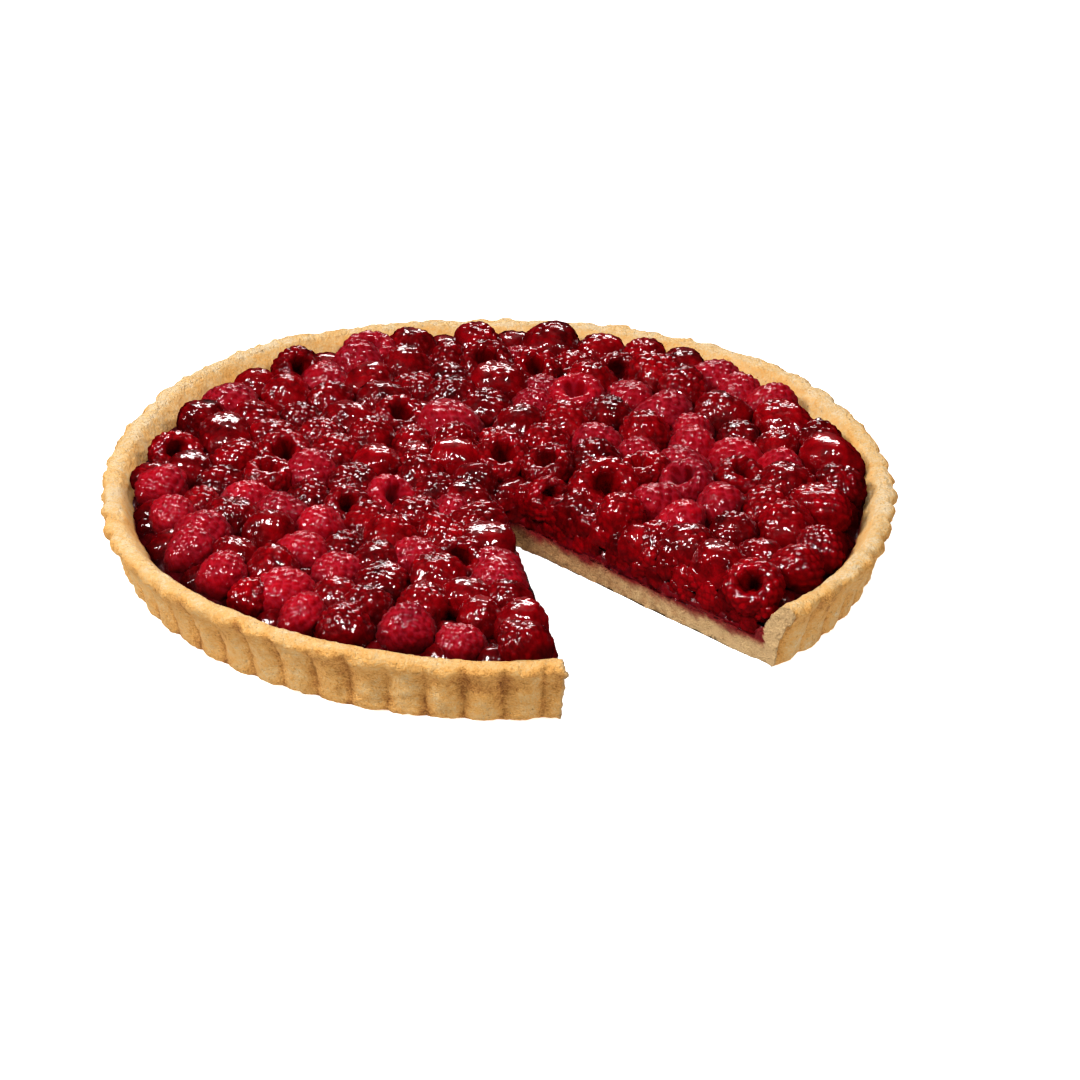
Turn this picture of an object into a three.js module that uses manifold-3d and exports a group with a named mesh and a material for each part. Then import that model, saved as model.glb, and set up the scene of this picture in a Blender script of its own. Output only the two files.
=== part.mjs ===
// A raspberry tart with one of its ten portions taken out.
// Three pieces: the fluted shortcrust case, the layer of jam spread on its base,
// and the heap of raspberries set in jelly on top of the jam.
// Millimetres, +Z up. The origin is the centre of the whole tart, on its underside.

import * as THREE from "three";
import { mergeVertices } from "three/addons/utils/BufferGeometryUtils.js";
import Module from "manifold-3d";

const wasm = await Module();
wasm.setup();

// Driving dimensions.

const RIM_RADIUS = 134.4;
const FOOT_RADIUS = 126.7;
const CRUST_HEIGHT = 22.8;
const BASE_THICKNESS = 8.5;
const WALL_FOOT_RADIUS = 117;
const FLUTES = 64;
const FLUTE_DEPTH = 2.2;
const FIRST_GROOVE_DEG = -88.3;
const COLUMNS_PER_FLUTE = 4;
const BOWL_COLUMNS = 72;
const FLUTE_SHARE_AT_LIP = 0.4;
const LIP_START_SHARE = 0.7;

// A hand-pressed rim is never quite round or level. The waves that move it out and up
// are each [how many times round, where it starts, its share].
const RIM_SWAY = 0.5;
const RIM_LIFT = 0.35;
const SWAY_WAVES = [
  [2, 0.6, 1],
  [5, 2.1, 0.6],
  [11, 0, 0.4],
];
const LIFT_WAVES = [
  [3, 1.1, 1],
  [7, 4, 0.7],
  [17, 2, 0.5],
];

const GAP_START_DEG = -80;
const GAP_END_DEG = -45;
const GAP_APEX = [-0.5, 4];
const GAP_TIP_RADIUS = 4;

const CLEARANCE = 0.3;
const JAM_TOP = 13;
const CORE_TOP = 19;
const BERRY_SEAT = 14;
const CORE_COLUMNS = 48;

// How the loose berries are strewn, how wide they are and how they lie. Of every ten
// about five stand as domes, three lie on their sides and two show their hollows.
const BERRY_REACH = 124;
const SPIRAL_SPOTS = 840;
const SPIRAL_REACH = BERRY_REACH - 8;
const STREWN_OFF = 2;
const START_GAP_SHARE = 0.7;
const SETTLING_STEPS = 240;
const LOOSE_WIDTH = [16, 19.5];
const LOOSE_RISE = [-1.8, 1.4];
const DOME_SHARE = 0.5;
const DOME_OR_SIDE_SHARE = 0.8;
const SIDE_LEAN = [65, 95];
const UPRIGHT_LEAN = [5, 40];
const CUP_HEADING = [-150, -30];
const CUT_BERRY_SHARE = 0.3;

// A berry's form. Its length grows more slowly than its width. Its outline goes from the
// open end to the shoulder before the tip, as [share of the length, share of the radius].
const BERRY_SIDES = 6;
const BERRY_LENGTH = { least: 9.5, perRadius: 0.95 };
const BERRY_OUTLINE = [
  [0.05, 0.8],
  [0.4, 1],
  [0.8, 0.7],
];
const BERRY_FULLNESS = 0.93;
const HOLLOW_MOUTH = 0.46;
const HOLLOW_DEPTH = 0.6;

// A berry sinks into the jam a little, rests on a little less than its half height,
// and leans up on the wall by a share of how far it goes past the wall's foot.
const BERRY_SINK = 1;
const REST_SHARE = 0.9;
const WALL_CLIMB = 0.2;

const DEGREE = Math.PI / 180;
const START_CUT = [Math.cos(GAP_START_DEG * DEGREE), Math.sin(GAP_START_DEG * DEGREE)];
const END_CUT = [Math.cos(GAP_END_DEG * DEGREE), Math.sin(GAP_END_DEG * DEGREE)];

// The berries that lie in plain sight, each at its own seat: x, y, width, the way it
// lies, the lean of its tip in degrees with its heading, and how far it is lifted.
// "dome" stands on its open end, "cup" shows its open end, "side" lies over.

const PLACED_BERRIES = [
  [-112, 18, 16.5, "cup", 45, -70, 0],
  [-113, -7, 16, "side", 75, 0, 0],
  [-107, -29, 17, "dome", 20, 120, 0],
  [-88, -30, 18.5, "dome", 30, 60, 0],
  [-103, -54, 17, "side", 80, 160, -1],
  [-89, -71, 18.5, "dome", 35, -100, -1],
  [-72, 17, 18, "cup", 35, -95, 0],
  [-93, 29, 19, "side", 75, 10, 0],
  [-95, 57, 20, "dome", 25, 100, 0],
  [-73, 84, 18, "cup", 42, -60, 1],
  [-50, 91, 19, "dome", 35, 140, 1],
  [-34, 110, 18, "side", 70, 200, 1],
  [-8, 111, 20, "side", 75, 15, 1],
  [17, 111, 19, "dome", 15, 80, 1],
  [12, 90, 16.5, "cup", 35, -95, 1],
  [-52, 46, 18.5, "dome", 20, 80, 0],
  [-17, 67, 17, "dome", 25, 60, 1],
  [-17, 42, 22, "dome", 30, 20, 0],
  [1, 16, 19.5, "cup", 30, -80, 0],
  [14, -5, 15, "cup", 55, -60, -2],
  [-27, 3, 17.5, "side", 70, 190, 0],
  [-26, -27, 19, "side", 80, 0, 0],
  [-50, -20, 15, "cup", 35, -75, 0],
  [35, -6, 24, "cup", 35, -70, -1],
  [38, 53, 19, "side", 75, 20, 0],
  [76, 57, 19.5, "dome", 25, 70, 0],
  [75, 84, 18, "dome", 20, 60, 0],
  [98, 49, 21, "dome", 20, 20, 0],
  [62, 14, 18.5, "dome", 15, 90, 0],
  [60, -29, 19.5, "side", 75, 160, 0],
  [108, -18, 21, "side", 75, 40, 0],
  [84, -72, 18.5, "cup", 40, -110, -1],
  [-68, -82, 19.5, "dome", 25, -80, 0],
  [-51, -67, 16.5, "dome", 30, -60, 0],
  [-27, -108, 20, "dome", 30, -95, 0],
  [10, -114, 19, "side", 80, -20, -2],
  [-18, -73, 20, "side", 80, 5, 0],
  [-48, -106, 17, "side", 80, 100, -1],
  [-80, -86, 14.5, "dome", 30, -100, -1],
  [-40, -91, 17, "dome", 15, 60, 0],
  [-4, -97, 16, "dome", 20, -90, 0],
];

// Solids and meshes.

function solidFrom(geometry) {
  const bare = geometry.index ? geometry.toNonIndexed() : geometry;
  bare.deleteAttribute("normal");
  bare.deleteAttribute("uv");
  const merged = mergeVertices(bare, 1e-4);
  const mesh = new wasm.Mesh({
    numProp: 3,
    vertProperties: new Float32Array(merged.attributes.position.array),
    triVerts: new Uint32Array(merged.index.array),
  });
  return new wasm.Manifold(mesh);
}

function geometryFrom(solid, warp) {
  const mesh = solid.getMesh();
  const place = Float32Array.from(mesh.vertProperties);
  if (warp) {
    for (let i = 0; i < place.length; i += 3) {
      const moved = warp(place[i], place[i + 1], place[i + 2]);
      place.set(moved, i);
    }
  }
  const geometry = new THREE.BufferGeometry();
  geometry.setAttribute("position", new THREE.BufferAttribute(place, 3));
  geometry.setIndex(new THREE.BufferAttribute(Uint32Array.from(mesh.triVerts), 1));
  return geometry;
}

// Skin over rings of points: each ring is a list of [x, y, z] with the same count,
// closed at either end by a fan to a single point.
function skin(rings, first, last) {
  const count = rings[0].length;
  const points = [first, ...rings.flat(), last];
  const faces = [];
  const at = (ring, column) => 1 + ring * count + (column % count);
  for (let column = 0; column < count; column += 1) {
    faces.push(0, at(0, column + 1), at(0, column));
    for (let ring = 0; ring < rings.length - 1; ring += 1) {
      faces.push(at(ring, column), at(ring, column + 1), at(ring + 1, column + 1));
      faces.push(at(ring, column), at(ring + 1, column + 1), at(ring + 1, column));
    }
    const top = rings.length - 1;
    faces.push(at(top, column), at(top, column + 1), points.length - 1);
  }
  const geometry = new THREE.BufferGeometry();
  geometry.setAttribute("position", new THREE.Float32BufferAttribute(points.flat(), 3));
  geometry.setIndex(faces);
  return geometry;
}

// A surface of revolution whose radius and height may depend on the angle.
function turned(profile, columns, shape = (radius, height) => [radius, height]) {
  const ring = ([radius, height]) => {
    const points = [];
    for (let column = 0; column < columns; column += 1) {
      const angle = FIRST_GROOVE_DEG * DEGREE + (column * 2 * Math.PI) / columns;
      const [r, z] = shape(radius, height, angle);
      points.push([r * Math.cos(angle), r * Math.sin(angle), z]);
    }
    return points;
  };
  const bottom = profile[0][1];
  const top = profile[profile.length - 1][1];
  return skin(profile.map(ring), [0, 0, bottom], [0, 0, top]);
}

// The missing portion: a tall wedge with a blunt tip, used to cut all three pieces.
function portionGap() {
  const start = GAP_START_DEG * DEGREE;
  const end = GAP_END_DEG * DEGREE;
  const middle = (start + end) / 2;
  const reach = 2 * RIM_RADIUS;
  const tip = GAP_TIP_RADIUS / Math.sin((end - start) / 2);
  const outline = new THREE.Shape();
  outline.moveTo(reach * START_CUT[0], reach * START_CUT[1]);
  outline.lineTo(reach * END_CUT[0], reach * END_CUT[1]);
  const from = end + Math.PI / 2;
  const to = start + (3 * Math.PI) / 2;
  outline.absarc(tip * Math.cos(middle), tip * Math.sin(middle), GAP_TIP_RADIUS, from, to, false);
  outline.closePath();
  const wedge = new THREE.ExtrudeGeometry(outline, {
    depth: 4 * CRUST_HEIGHT,
    bevelEnabled: false,
    curveSegments: 8,
  });
  wedge.translate(GAP_APEX[0], GAP_APEX[1], -CRUST_HEIGHT);
  return solidFrom(wedge);
}

// The crust.

// Depth of the pressed groove at an angle: zero on a rib's crown, one in the groove.
function grooveShare(angle) {
  const turn = ((angle / DEGREE - FIRST_GROOVE_DEG) * FLUTES) / 360;
  return 1 - Math.abs(Math.sin(Math.PI * turn));
}

// How much of the flute is left at a height: all of it low down, little at the lip.
function fluteShare(height) {
  return height < LIP_START_SHARE * CRUST_HEIGHT ? 1 : FLUTE_SHARE_AT_LIP;
}

function wavesAt(waves, angle) {
  return waves.reduce((sum, [times, start, share]) => sum + share * Math.sin(times * angle + start), 0);
}

// Moves a point of the wall with the waves of the rim: not at all at the wall's foot,
// and fully at its lip.
function rimWarp(x, y, z) {
  const angle = Math.atan2(y, x);
  const radius = Math.hypot(x, y);
  const isWall = radius > WALL_FOOT_RADIUS - 1;
  const upWall = (z - BASE_THICKNESS) / (CRUST_HEIGHT - BASE_THICKNESS);
  const share = isWall ? Math.min(1, Math.max(0, upWall)) : 0;
  const grown = radius + share * RIM_SWAY * wavesAt(SWAY_WAVES, angle);
  const height = z + share * RIM_LIFT * wavesAt(LIFT_WAVES, angle);
  return [grown * Math.cos(angle), grown * Math.sin(angle), height];
}

function crustSolid() {
  const outside = [
    [FOOT_RADIUS - 1.5, 0],
    [FOOT_RADIUS, 1.5],
    [FOOT_RADIUS + 4.6, 0.73 * CRUST_HEIGHT],
    [RIM_RADIUS, 0.87 * CRUST_HEIGHT],
    [RIM_RADIUS - 2.4, CRUST_HEIGHT],
  ];
  const fluted = (radius, height, angle) => {
    return [radius - FLUTE_DEPTH * fluteShare(height) * grooveShare(angle), height];
  };
  const body = solidFrom(turned(outside, FLUTES * COLUMNS_PER_FLUTE, fluted));
  const inside = [
    [WALL_FOOT_RADIUS - 5, BASE_THICKNESS],
    [WALL_FOOT_RADIUS, BASE_THICKNESS + 0.7],
    [WALL_FOOT_RADIUS + 4.5, 12],
    [WALL_FOOT_RADIUS + 9.4, 18],
    [WALL_FOOT_RADIUS + 11.6, 0.96 * CRUST_HEIGHT],
    [WALL_FOOT_RADIUS + 14, 1.2 * CRUST_HEIGHT],
  ];
  const bowl = solidFrom(turned(inside, BOWL_COLUMNS));
  return body.subtract(bowl);
}

// The jam.

function jamSolid() {
  const profile = [
    [WALL_FOOT_RADIUS - 5.6, BASE_THICKNESS + CLEARANCE],
    [WALL_FOOT_RADIUS - 1.2, BASE_THICKNESS + 1.2],
    [WALL_FOOT_RADIUS + 3.4, JAM_TOP],
  ];
  return solidFrom(turned(profile, CORE_COLUMNS));
}

// The raspberries.

let seed = 20731;

function draw() {
  seed = (seed * 48271) % 2147483647;
  return seed / 2147483647;
}

function between(low, high) {
  return low + (high - low) * draw();
}

// How far a point lies on the tart's side of each cut of the missing portion,
// and how far out it lies along that cut.
function besideStartCut(x, y) {
  return (x - GAP_APEX[0]) * START_CUT[1] - (y - GAP_APEX[1]) * START_CUT[0];
}

function besideEndCut(x, y) {
  return (y - GAP_APEX[1]) * END_CUT[0] - (x - GAP_APEX[0]) * END_CUT[1];
}

function alongStartCut(x, y) {
  return (x - GAP_APEX[0]) * START_CUT[0] + (y - GAP_APEX[1]) * START_CUT[1];
}

function isInGap(x, y, margin) {
  const nearest = Math.max(besideStartCut(x, y), besideEndCut(x, y));
  return nearest < -margin && alongStartCut(x, y) > 0;
}

function placedBerries() {
  return PLACED_BERRIES.map(([x, y, width, pose, lean, heading, rise]) => {
    return { x, y, radius: width / 2, pose, lean, heading, rise, fixed: true };
  });
}

// Loose berries start on a sunflower spiral over the whole round,
// where no placed berry lies, and then push one another apart.
function looseBerries(placed) {
  const loose = [];
  const goldenAngle = Math.PI * (3 - Math.sqrt(5));
  for (let step = 0; step < SPIRAL_SPOTS; step += 1) {
    const distance = SPIRAL_REACH * Math.sqrt((step + 0.5) / SPIRAL_SPOTS);
    const angle = step * goldenAngle;
    const x = distance * Math.cos(angle) + between(-STREWN_OFF, STREWN_OFF);
    const y = distance * Math.sin(angle) + between(-STREWN_OFF, STREWN_OFF);
    const radius = between(...LOOSE_WIDTH) / 2;
    const others = [...placed, ...loose];
    const room = others.every((other) => {
      return Math.hypot(other.x - x, other.y - y) > START_GAP_SHARE * (other.radius + radius);
    });
    const kind = draw();
    const pose = kind < DOME_SHARE ? "dome" : kind < DOME_OR_SIDE_SHARE ? "side" : "cup";
    const lean = pose === "side" ? between(...SIDE_LEAN) : between(...UPRIGHT_LEAN);
    const heading = pose === "cup" ? between(...CUP_HEADING) : between(0, 360);
    const rise = between(...LOOSE_RISE);
    if (room) {
      loose.push({ x, y, radius, pose, lean, heading, rise, fixed: false });
    }
  }
  return loose;
}

function settle(berries) {
  for (let step = 0; step < SETTLING_STEPS; step += 1) {
    const moves = berries.map(() => [0, 0]);
    for (let i = 0; i < berries.length; i += 1) {
      for (let j = i + 1; j < berries.length; j += 1) {
        const a = berries[i];
        const b = berries[j];
        const dx = b.x - a.x;
        const dy = b.y - a.y;
        const apart = Math.sqrt(dx * dx + dy * dy) + 1e-9;
        const lack = Math.max(0, a.radius + b.radius - apart);
        const push = (0.5 * lack) / apart;
        moves[i][0] -= push * dx;
        moves[i][1] -= push * dy;
        moves[j][0] += push * dx;
        moves[j][1] += push * dy;
      }
    }
    berries.forEach((berry, i) => {
      if (berry.fixed) {
        return;
      }
      berry.x += 0.5 * moves[i][0];
      berry.y += 0.5 * moves[i][1];
      keepInside(berry);
    });
  }
}

// No berry climbs over the wall, and the berries left beside the first cut were
// nudged back whole by the knife.
function keepInside(berry) {
  const distance = Math.sqrt(berry.x * berry.x + berry.y * berry.y);
  const limit = BERRY_REACH - berry.radius;
  if (distance > limit) {
    berry.x *= limit / distance;
    berry.y *= limit / distance;
  }
  const beside = besideStartCut(berry.x, berry.y);
  const isAlong = alongStartCut(berry.x, berry.y) > 0;
  if (isAlong && beside > -0.5 * berry.radius && beside < berry.radius) {
    const back = berry.radius - beside;
    berry.x += back * START_CUT[1];
    berry.y -= back * START_CUT[0];
  }
}

// Unit vector from the berry's open end to its tip.
function berryAxis(berry) {
  const lean = (berry.pose === "cup" ? 180 - berry.lean : berry.lean) * DEGREE;
  const turnedRound = berry.pose === "cup" ? 180 : 0;
  const heading = (berry.heading + turnedRound) * DEGREE;
  return new THREE.Vector3(
    Math.sin(lean) * Math.cos(heading),
    Math.sin(lean) * Math.sin(heading),
    Math.cos(lean),
  );
}

function berryLength(berry) {
  return BERRY_LENGTH.least + BERRY_LENGTH.perRadius * berry.radius;
}

// Height of the berry's middle: it rests in the jam, and leans up on the wall.
function berryMiddle(berry) {
  const distance = Math.hypot(berry.x, berry.y);
  const climb = Math.max(0, distance + berry.radius - WALL_FOOT_RADIUS) * WALL_CLIMB;
  const upright = Math.abs(berryAxis(berry).z);
  const half = upright * 0.5 * berryLength(berry) + (1 - upright) * berry.radius;
  return JAM_TOP - BERRY_SINK + REST_SHARE * half + climb + berry.rise;
}

function berrySolid(berry) {
  const length = berryLength(berry);
  const ring = ([along, wide]) => {
    const points = [];
    for (let side = 0; side < BERRY_SIDES; side += 1) {
      const angle = (side * 2 * Math.PI) / BERRY_SIDES;
      const reach = wide * BERRY_FULLNESS * berry.radius;
      points.push([reach * Math.cos(angle), reach * Math.sin(angle), (along - 0.5) * length]);
    }
    return points;
  };
  const tip = [0, 0, 0.5 * length];
  const isOpen = berry.pose === "cup";
  const mouth = isOpen ? [ring([0, HOLLOW_MOUTH])] : [];
  const rings = [...mouth, ...BERRY_OUTLINE.map(ring)];
  const inner = [0, 0, (isOpen ? HOLLOW_DEPTH - 0.5 : -0.5) * length];
  const geometry = skin(rings, inner, tip);
  const spin = new THREE.Quaternion();
  spin.setFromUnitVectors(new THREE.Vector3(0, 0, 1), berryAxis(berry));
  geometry.applyQuaternion(spin);
  geometry.translate(berry.x, berry.y, berryMiddle(berry));
  const place = geometry.attributes.position;
  for (let i = 0; i < place.count; i += 1) {
    place.setZ(i, Math.max(place.getZ(i), BERRY_SEAT));
  }
  return solidFrom(geometry);
}

function allBerries() {
  const placed = placedBerries();
  const berries = [...placed, ...looseBerries(placed)];
  settle(berries);
  return berries.filter((berry) => {
    return berry.fixed || !isInGap(berry.x, berry.y, CUT_BERRY_SHARE * berry.radius);
  });
}

// The jelly that binds the heap: a low round slab with a sloping edge.
function coreSolid() {
  const floor = JAM_TOP + CLEARANCE;
  const profile = [
    [WALL_FOOT_RADIUS + 3.2, floor],
    [WALL_FOOT_RADIUS + 3.6, floor + 1.8],
    [WALL_FOOT_RADIUS - 1, CORE_TOP],
  ];
  return solidFrom(turned(profile, CORE_COLUMNS));
}

// The knife goes through the jelly and the loose berries at the cuts. The placed
// berries stay whole, and those at the tip of the gap overhang it a little.
function heapSolid(gap) {
  const berries = allBerries();
  const loose = berries.filter((berry) => !berry.fixed).map(berrySolid);
  const whole = berries.filter((berry) => berry.fixed).map(berrySolid);
  const cut = loose.reduce((heap, berry) => heap.add(berry), coreSolid()).subtract(gap);
  const heap = whole.reduce((sum, berry) => sum.add(berry), cut).intersect(heapSpace());
  return largestBody(heap);
}

// Pockets sealed between touching berries are filled, and loose scraps are dropped.
function largestBody(solid) {
  return solid.decompose().sort((a, b) => b.volume() - a.volume())[0];
}

// Above the bare floor of the heap, so that no berry dips into the jam below it.
function heapSpace() {
  const floor = JAM_TOP + CLEARANCE;
  const profile = [
    [WALL_FOOT_RADIUS + 5.2 - CLEARANCE, floor],
    [WALL_FOOT_RADIUS + 9 - CLEARANCE, 18],
    [WALL_FOOT_RADIUS + 10.6 - CLEARANCE, CRUST_HEIGHT + 1],
    [WALL_FOOT_RADIUS + 14, 2 * CRUST_HEIGHT],
  ];
  return solidFrom(turned(profile, CORE_COLUMNS));
}

// Colours and finish.

function material(colour, roughness) {
  return new THREE.MeshStandardMaterial({ color: colour, roughness, metalness: 0 });
}

function piece(name, geometry, finish) {
  const mesh = new THREE.Mesh(geometry, finish);
  mesh.name = name;
  return mesh;
}

const gap = portionGap();
const crust = crustSolid().subtract(gap);
const jam = jamSolid().subtract(gap);
const heap = heapSolid(gap);

const tart = new THREE.Group();
tart.add(piece("crust", geometryFrom(crust, rimWarp), material(0xd9a860, 0.8)));
tart.add(piece("jam_layer", geometryFrom(jam), material(0x5c0612, 0.35)));
tart.add(piece("raspberry_heap", geometryFrom(heap), material(0xa5081c, 0.3)));

export default tart;
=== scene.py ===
# %% [markdown]
# # A raspberry tart, piece by piece
# This lesson builds a raspberry tart with a portion cut out. A solid model of the tart is
# loaded first, and every detailed piece keeps to its form. Each cell then makes one piece or
# one finish in full detail over that solid: the pastry, the jam, the jelly and the fruit.
# Lengths are in millimetres until a mesh is made, because a cook measures so.

import itertools
import math

import bmesh
import bpy
import numpy as np
from mathutils import Matrix, Vector


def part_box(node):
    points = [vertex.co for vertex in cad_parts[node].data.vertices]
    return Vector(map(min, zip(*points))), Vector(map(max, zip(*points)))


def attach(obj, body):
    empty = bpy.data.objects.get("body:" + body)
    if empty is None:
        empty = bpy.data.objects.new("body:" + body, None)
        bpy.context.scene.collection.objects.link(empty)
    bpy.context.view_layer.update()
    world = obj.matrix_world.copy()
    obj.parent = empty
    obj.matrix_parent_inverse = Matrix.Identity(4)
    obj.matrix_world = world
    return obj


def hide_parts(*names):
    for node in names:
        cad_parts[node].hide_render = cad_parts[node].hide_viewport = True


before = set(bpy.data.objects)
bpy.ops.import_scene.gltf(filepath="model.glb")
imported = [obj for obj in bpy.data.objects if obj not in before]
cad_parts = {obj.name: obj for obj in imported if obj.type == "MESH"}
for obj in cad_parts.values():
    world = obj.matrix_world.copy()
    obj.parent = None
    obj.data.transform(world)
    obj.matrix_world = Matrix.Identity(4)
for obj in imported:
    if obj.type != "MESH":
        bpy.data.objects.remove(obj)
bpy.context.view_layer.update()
MM = 0.001
DEGREE = math.pi / 180
for node in sorted(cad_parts):
    low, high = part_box(node)
    print(node, "from", [round(v / MM, 1) for v in low], "to", [round(v / MM, 1) for v in high])

# %% [markdown]
# ## The camera
# The camera comes first, so that every later choice can be judged through it. A tart is
# best seen from about 27 degrees above the table with a long lens from nearly two metres:
# the far rim then looks almost as large as the near one. Placing the camera by its rotation
# matrix, from a right, an up and a back direction, leaves nothing to a constraint.

# %% Camera
CAMERA_ELEVATION = 26.94 * DEGREE
CAMERA_ROLL = 0.96 * DEGREE
CAMERA_DISTANCE = 1859.6
CAMERA_AIM = Vector((14.4, 1.2, 0))
CAMERA_LENS = 183.8
SENSOR_WIDTH = 36
SEES_AS_FAR_AS = 20

back = Vector((0, -math.cos(CAMERA_ELEVATION), math.sin(CAMERA_ELEVATION)))
level_right = Vector((1, 0, 0))
level_up = level_right.cross(-back)
right = level_right * math.cos(CAMERA_ROLL) + level_up * math.sin(CAMERA_ROLL)
up = level_up * math.cos(CAMERA_ROLL) - level_right * math.sin(CAMERA_ROLL)

camera_data = bpy.data.cameras.new("camera")
camera_data.lens = CAMERA_LENS
camera_data.sensor_width = SENSOR_WIDTH
camera_data.clip_end = SEES_AS_FAR_AS
camera = bpy.data.objects.new("camera", camera_data)
turn = Matrix((right, up, back)).transposed().to_4x4()
camera.matrix_world = Matrix.Translation((CAMERA_AIM + back * CAMERA_DISTANCE) * MM) @ turn
bpy.context.scene.collection.objects.link(camera)
bpy.context.scene.camera = camera
bpy.context.scene.view_settings.view_transform = "Standard"
bpy.context.scene.view_settings.look = "Medium High Contrast"
print("camera at", [round(v, 3) for v in camera.location], "metres")

# %% [markdown]
# ## From arrays to meshes
# Every piece here is worked out with numpy as a list of points and a list of four-cornered
# faces. Handing whole arrays to Blender is hundreds of times faster than adding faces one
# by one. A face whose corners fall together, as at the tip of a berry, becomes a triangle.
# Grids of points that meet along an edge are skinned one by one and welded into one skin.
# Numbers such as how toasted a spot is are stored on the points, where a material reads them.

# %% Mesh from arrays
WELDS_PER_MM = 100


def split_faces(faces):
    """Four-cornered faces, and the triangles left where two neighbouring corners meet."""
    meets = faces == np.roll(faces, -1, axis=1)
    quads = faces[~meets.any(axis=1)]
    triangles = [
        np.delete(faces[meets[:, corner] & (meets.sum(axis=1) == 1)], corner, axis=1)
        for corner in range(4)
    ]
    return quads, np.concatenate(triangles)


def new_piece(name, points, faces, numbers):
    """A smooth-shaded mesh object from millimetre points, with its named point numbers."""
    quads, triangles = split_faces(faces)
    corners = np.concatenate([quads.ravel(), triangles.ravel()]).astype(np.int32)
    sizes = np.concatenate([np.full(len(quads), 4), np.full(len(triangles), 3)])
    starts = np.concatenate([[0], np.cumsum(sizes)[:-1]]).astype(np.int32)
    mesh = bpy.data.meshes.new(name)
    mesh.vertices.add(len(points))
    mesh.vertices.foreach_set("co", (points * MM).astype(np.float32).ravel())
    mesh.loops.add(len(corners))
    mesh.loops.foreach_set("vertex_index", corners)
    mesh.polygons.add(len(sizes))
    mesh.polygons.foreach_set("loop_start", starts)
    mesh.update(calc_edges=True)
    mesh.validate()
    mesh.shade_smooth()
    for key, values in numbers.items():
        kind, field = ("FLOAT", "value") if values.ndim == 1 else ("FLOAT_VECTOR", "vector")
        layer = mesh.attributes.new(key, kind, "POINT")
        layer.data.foreach_set(field, values.astype(np.float32).ravel())
    piece = bpy.data.objects.new(name, mesh)
    bpy.context.scene.collection.objects.link(piece)
    print(name, "has", 2 * len(quads) + len(triangles), "triangles")
    return piece


def face_outwards(piece):
    """Turns all faces of a piece made of several patches the same way, outwards."""
    work = bmesh.new()
    work.from_mesh(piece.data)
    bmesh.ops.recalc_face_normals(work, faces=work.faces)
    work.to_mesh(piece.data)
    work.free()


def wound_outwards(points, faces):
    """The same faces of a closed skin, turned over if they were wound inwards."""
    a, b, c, d = (points[faces[:, corner]] for corner in range(4))
    volume = (a * (np.cross(b, c) + np.cross(c, d))).sum()
    return faces if volume > 0 else faces[:, ::-1]


def weld(points, faces):
    """Joins points that lie in the same place, so that patches become one skin."""
    keys = np.round(points * WELDS_PER_MM).astype(np.int64)
    _, first, place = np.unique(keys, axis=0, return_index=True, return_inverse=True)
    return points[first], place.reshape(-1)[faces]


def grid_faces(rows, columns, closed=False):
    """Faces between the points of a grid that is stored row by row."""
    across = np.arange(columns if closed else columns - 1)
    down = np.arange(rows - 1)[:, None] * columns
    following = (across + 1) % columns
    corners = [down + across, down + following, down + columns + following, down + columns + across]
    return np.stack(corners, axis=-1).reshape(-1, 4)


def join_patches(patches):
    """Skins grids of points, each with whether its rows close in a ring, and welds them."""
    points, faces, used = [], [], 0
    for patch, closed in patches:
        points.append(patch.reshape(-1, 3))
        faces.append(grid_faces(patch.shape[0], patch.shape[1], closed) + used)
        used += len(points[-1])
    return weld(np.concatenate(points), np.concatenate(faces))


print("a grid of 3 by 4 points has", len(grid_faces(3, 4)), "faces")

# %% [markdown]
# ## Unevenness
# Baked dough and fruit are never smooth, so most pieces are ruffled a little at several
# sizes. The noise gives each cell of a lattice a fixed number and blends between the cells.
# It depends only on place, so two patches that meet are ruffled alike and stay joined.

# %% Noise
X_STRIDE = 374761393
Y_STRIDE = 668265263
Z_STRIDE = 2246822519
SEED_STRIDE = 3266489917
SCRAMBLE = 1274126177
LOW_BITS = 0xFFFFFF


def lattice_number(cells, seed):
    """A fixed number from 0 to 1 for each whole-numbered cell."""
    x, y, z = (cells[..., axis].astype(np.int64) for axis in range(3))
    mixed = x * X_STRIDE + y * Y_STRIDE + z * Z_STRIDE + seed * SEED_STRIDE
    mixed = (mixed ^ (mixed >> 13)) * SCRAMBLE
    return ((mixed ^ (mixed >> 16)) & LOW_BITS) / LOW_BITS


def lumps(points, size, seed=0):
    """Smooth noise from -1 to 1 whose lumps are about as wide as size."""
    cell = np.floor(points / size)
    part = points / size - cell
    part = part * part * (3 - 2 * part)
    total = 0
    for corner in itertools.product((0, 1), repeat=3):
        weight = np.where(corner, part, 1 - part).prod(axis=-1)
        total = total + weight * lattice_number(cell + corner, seed)
    return 2 * total - 1


def ruffle(points, size, seed=0):
    """The same noise for each of the three directions."""
    return np.stack([lumps(points, size, seed + axis) for axis in range(3)], axis=-1)


def rise_between(values, low, high):
    """0 below low, 1 above high, and an easy rise between."""
    share = np.clip((values - low) / (high - low), 0, 1)
    return share * share * (3 - 2 * share)


print("noise at the origin:", round(float(lumps(np.zeros((1, 3)), 5)[0]), 3))

# %% [markdown]
# ## The missing portion
# The knife made two straight cuts that meet near the middle, with a blunt tip where the
# crumb tore. Everything at the cuts needs the same three answers: how deep a point lies in
# the gap, which way is out of it, and what path the cut follows in plan. They are worked
# out once here from the two directions, the point where they meet and the tip's radius.
# Along the first cut the fruit stands back a little, and start_inset says how far.

# %% Cuts
GAP_START = -80 * DEGREE
GAP_END = -45 * DEGREE
GAP_APEX = np.array([-0.5, 4.0])
GAP_TIP_RADIUS = 4.0
START_INSET = 2.4
INSET_FADES = (85, 110)

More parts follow.
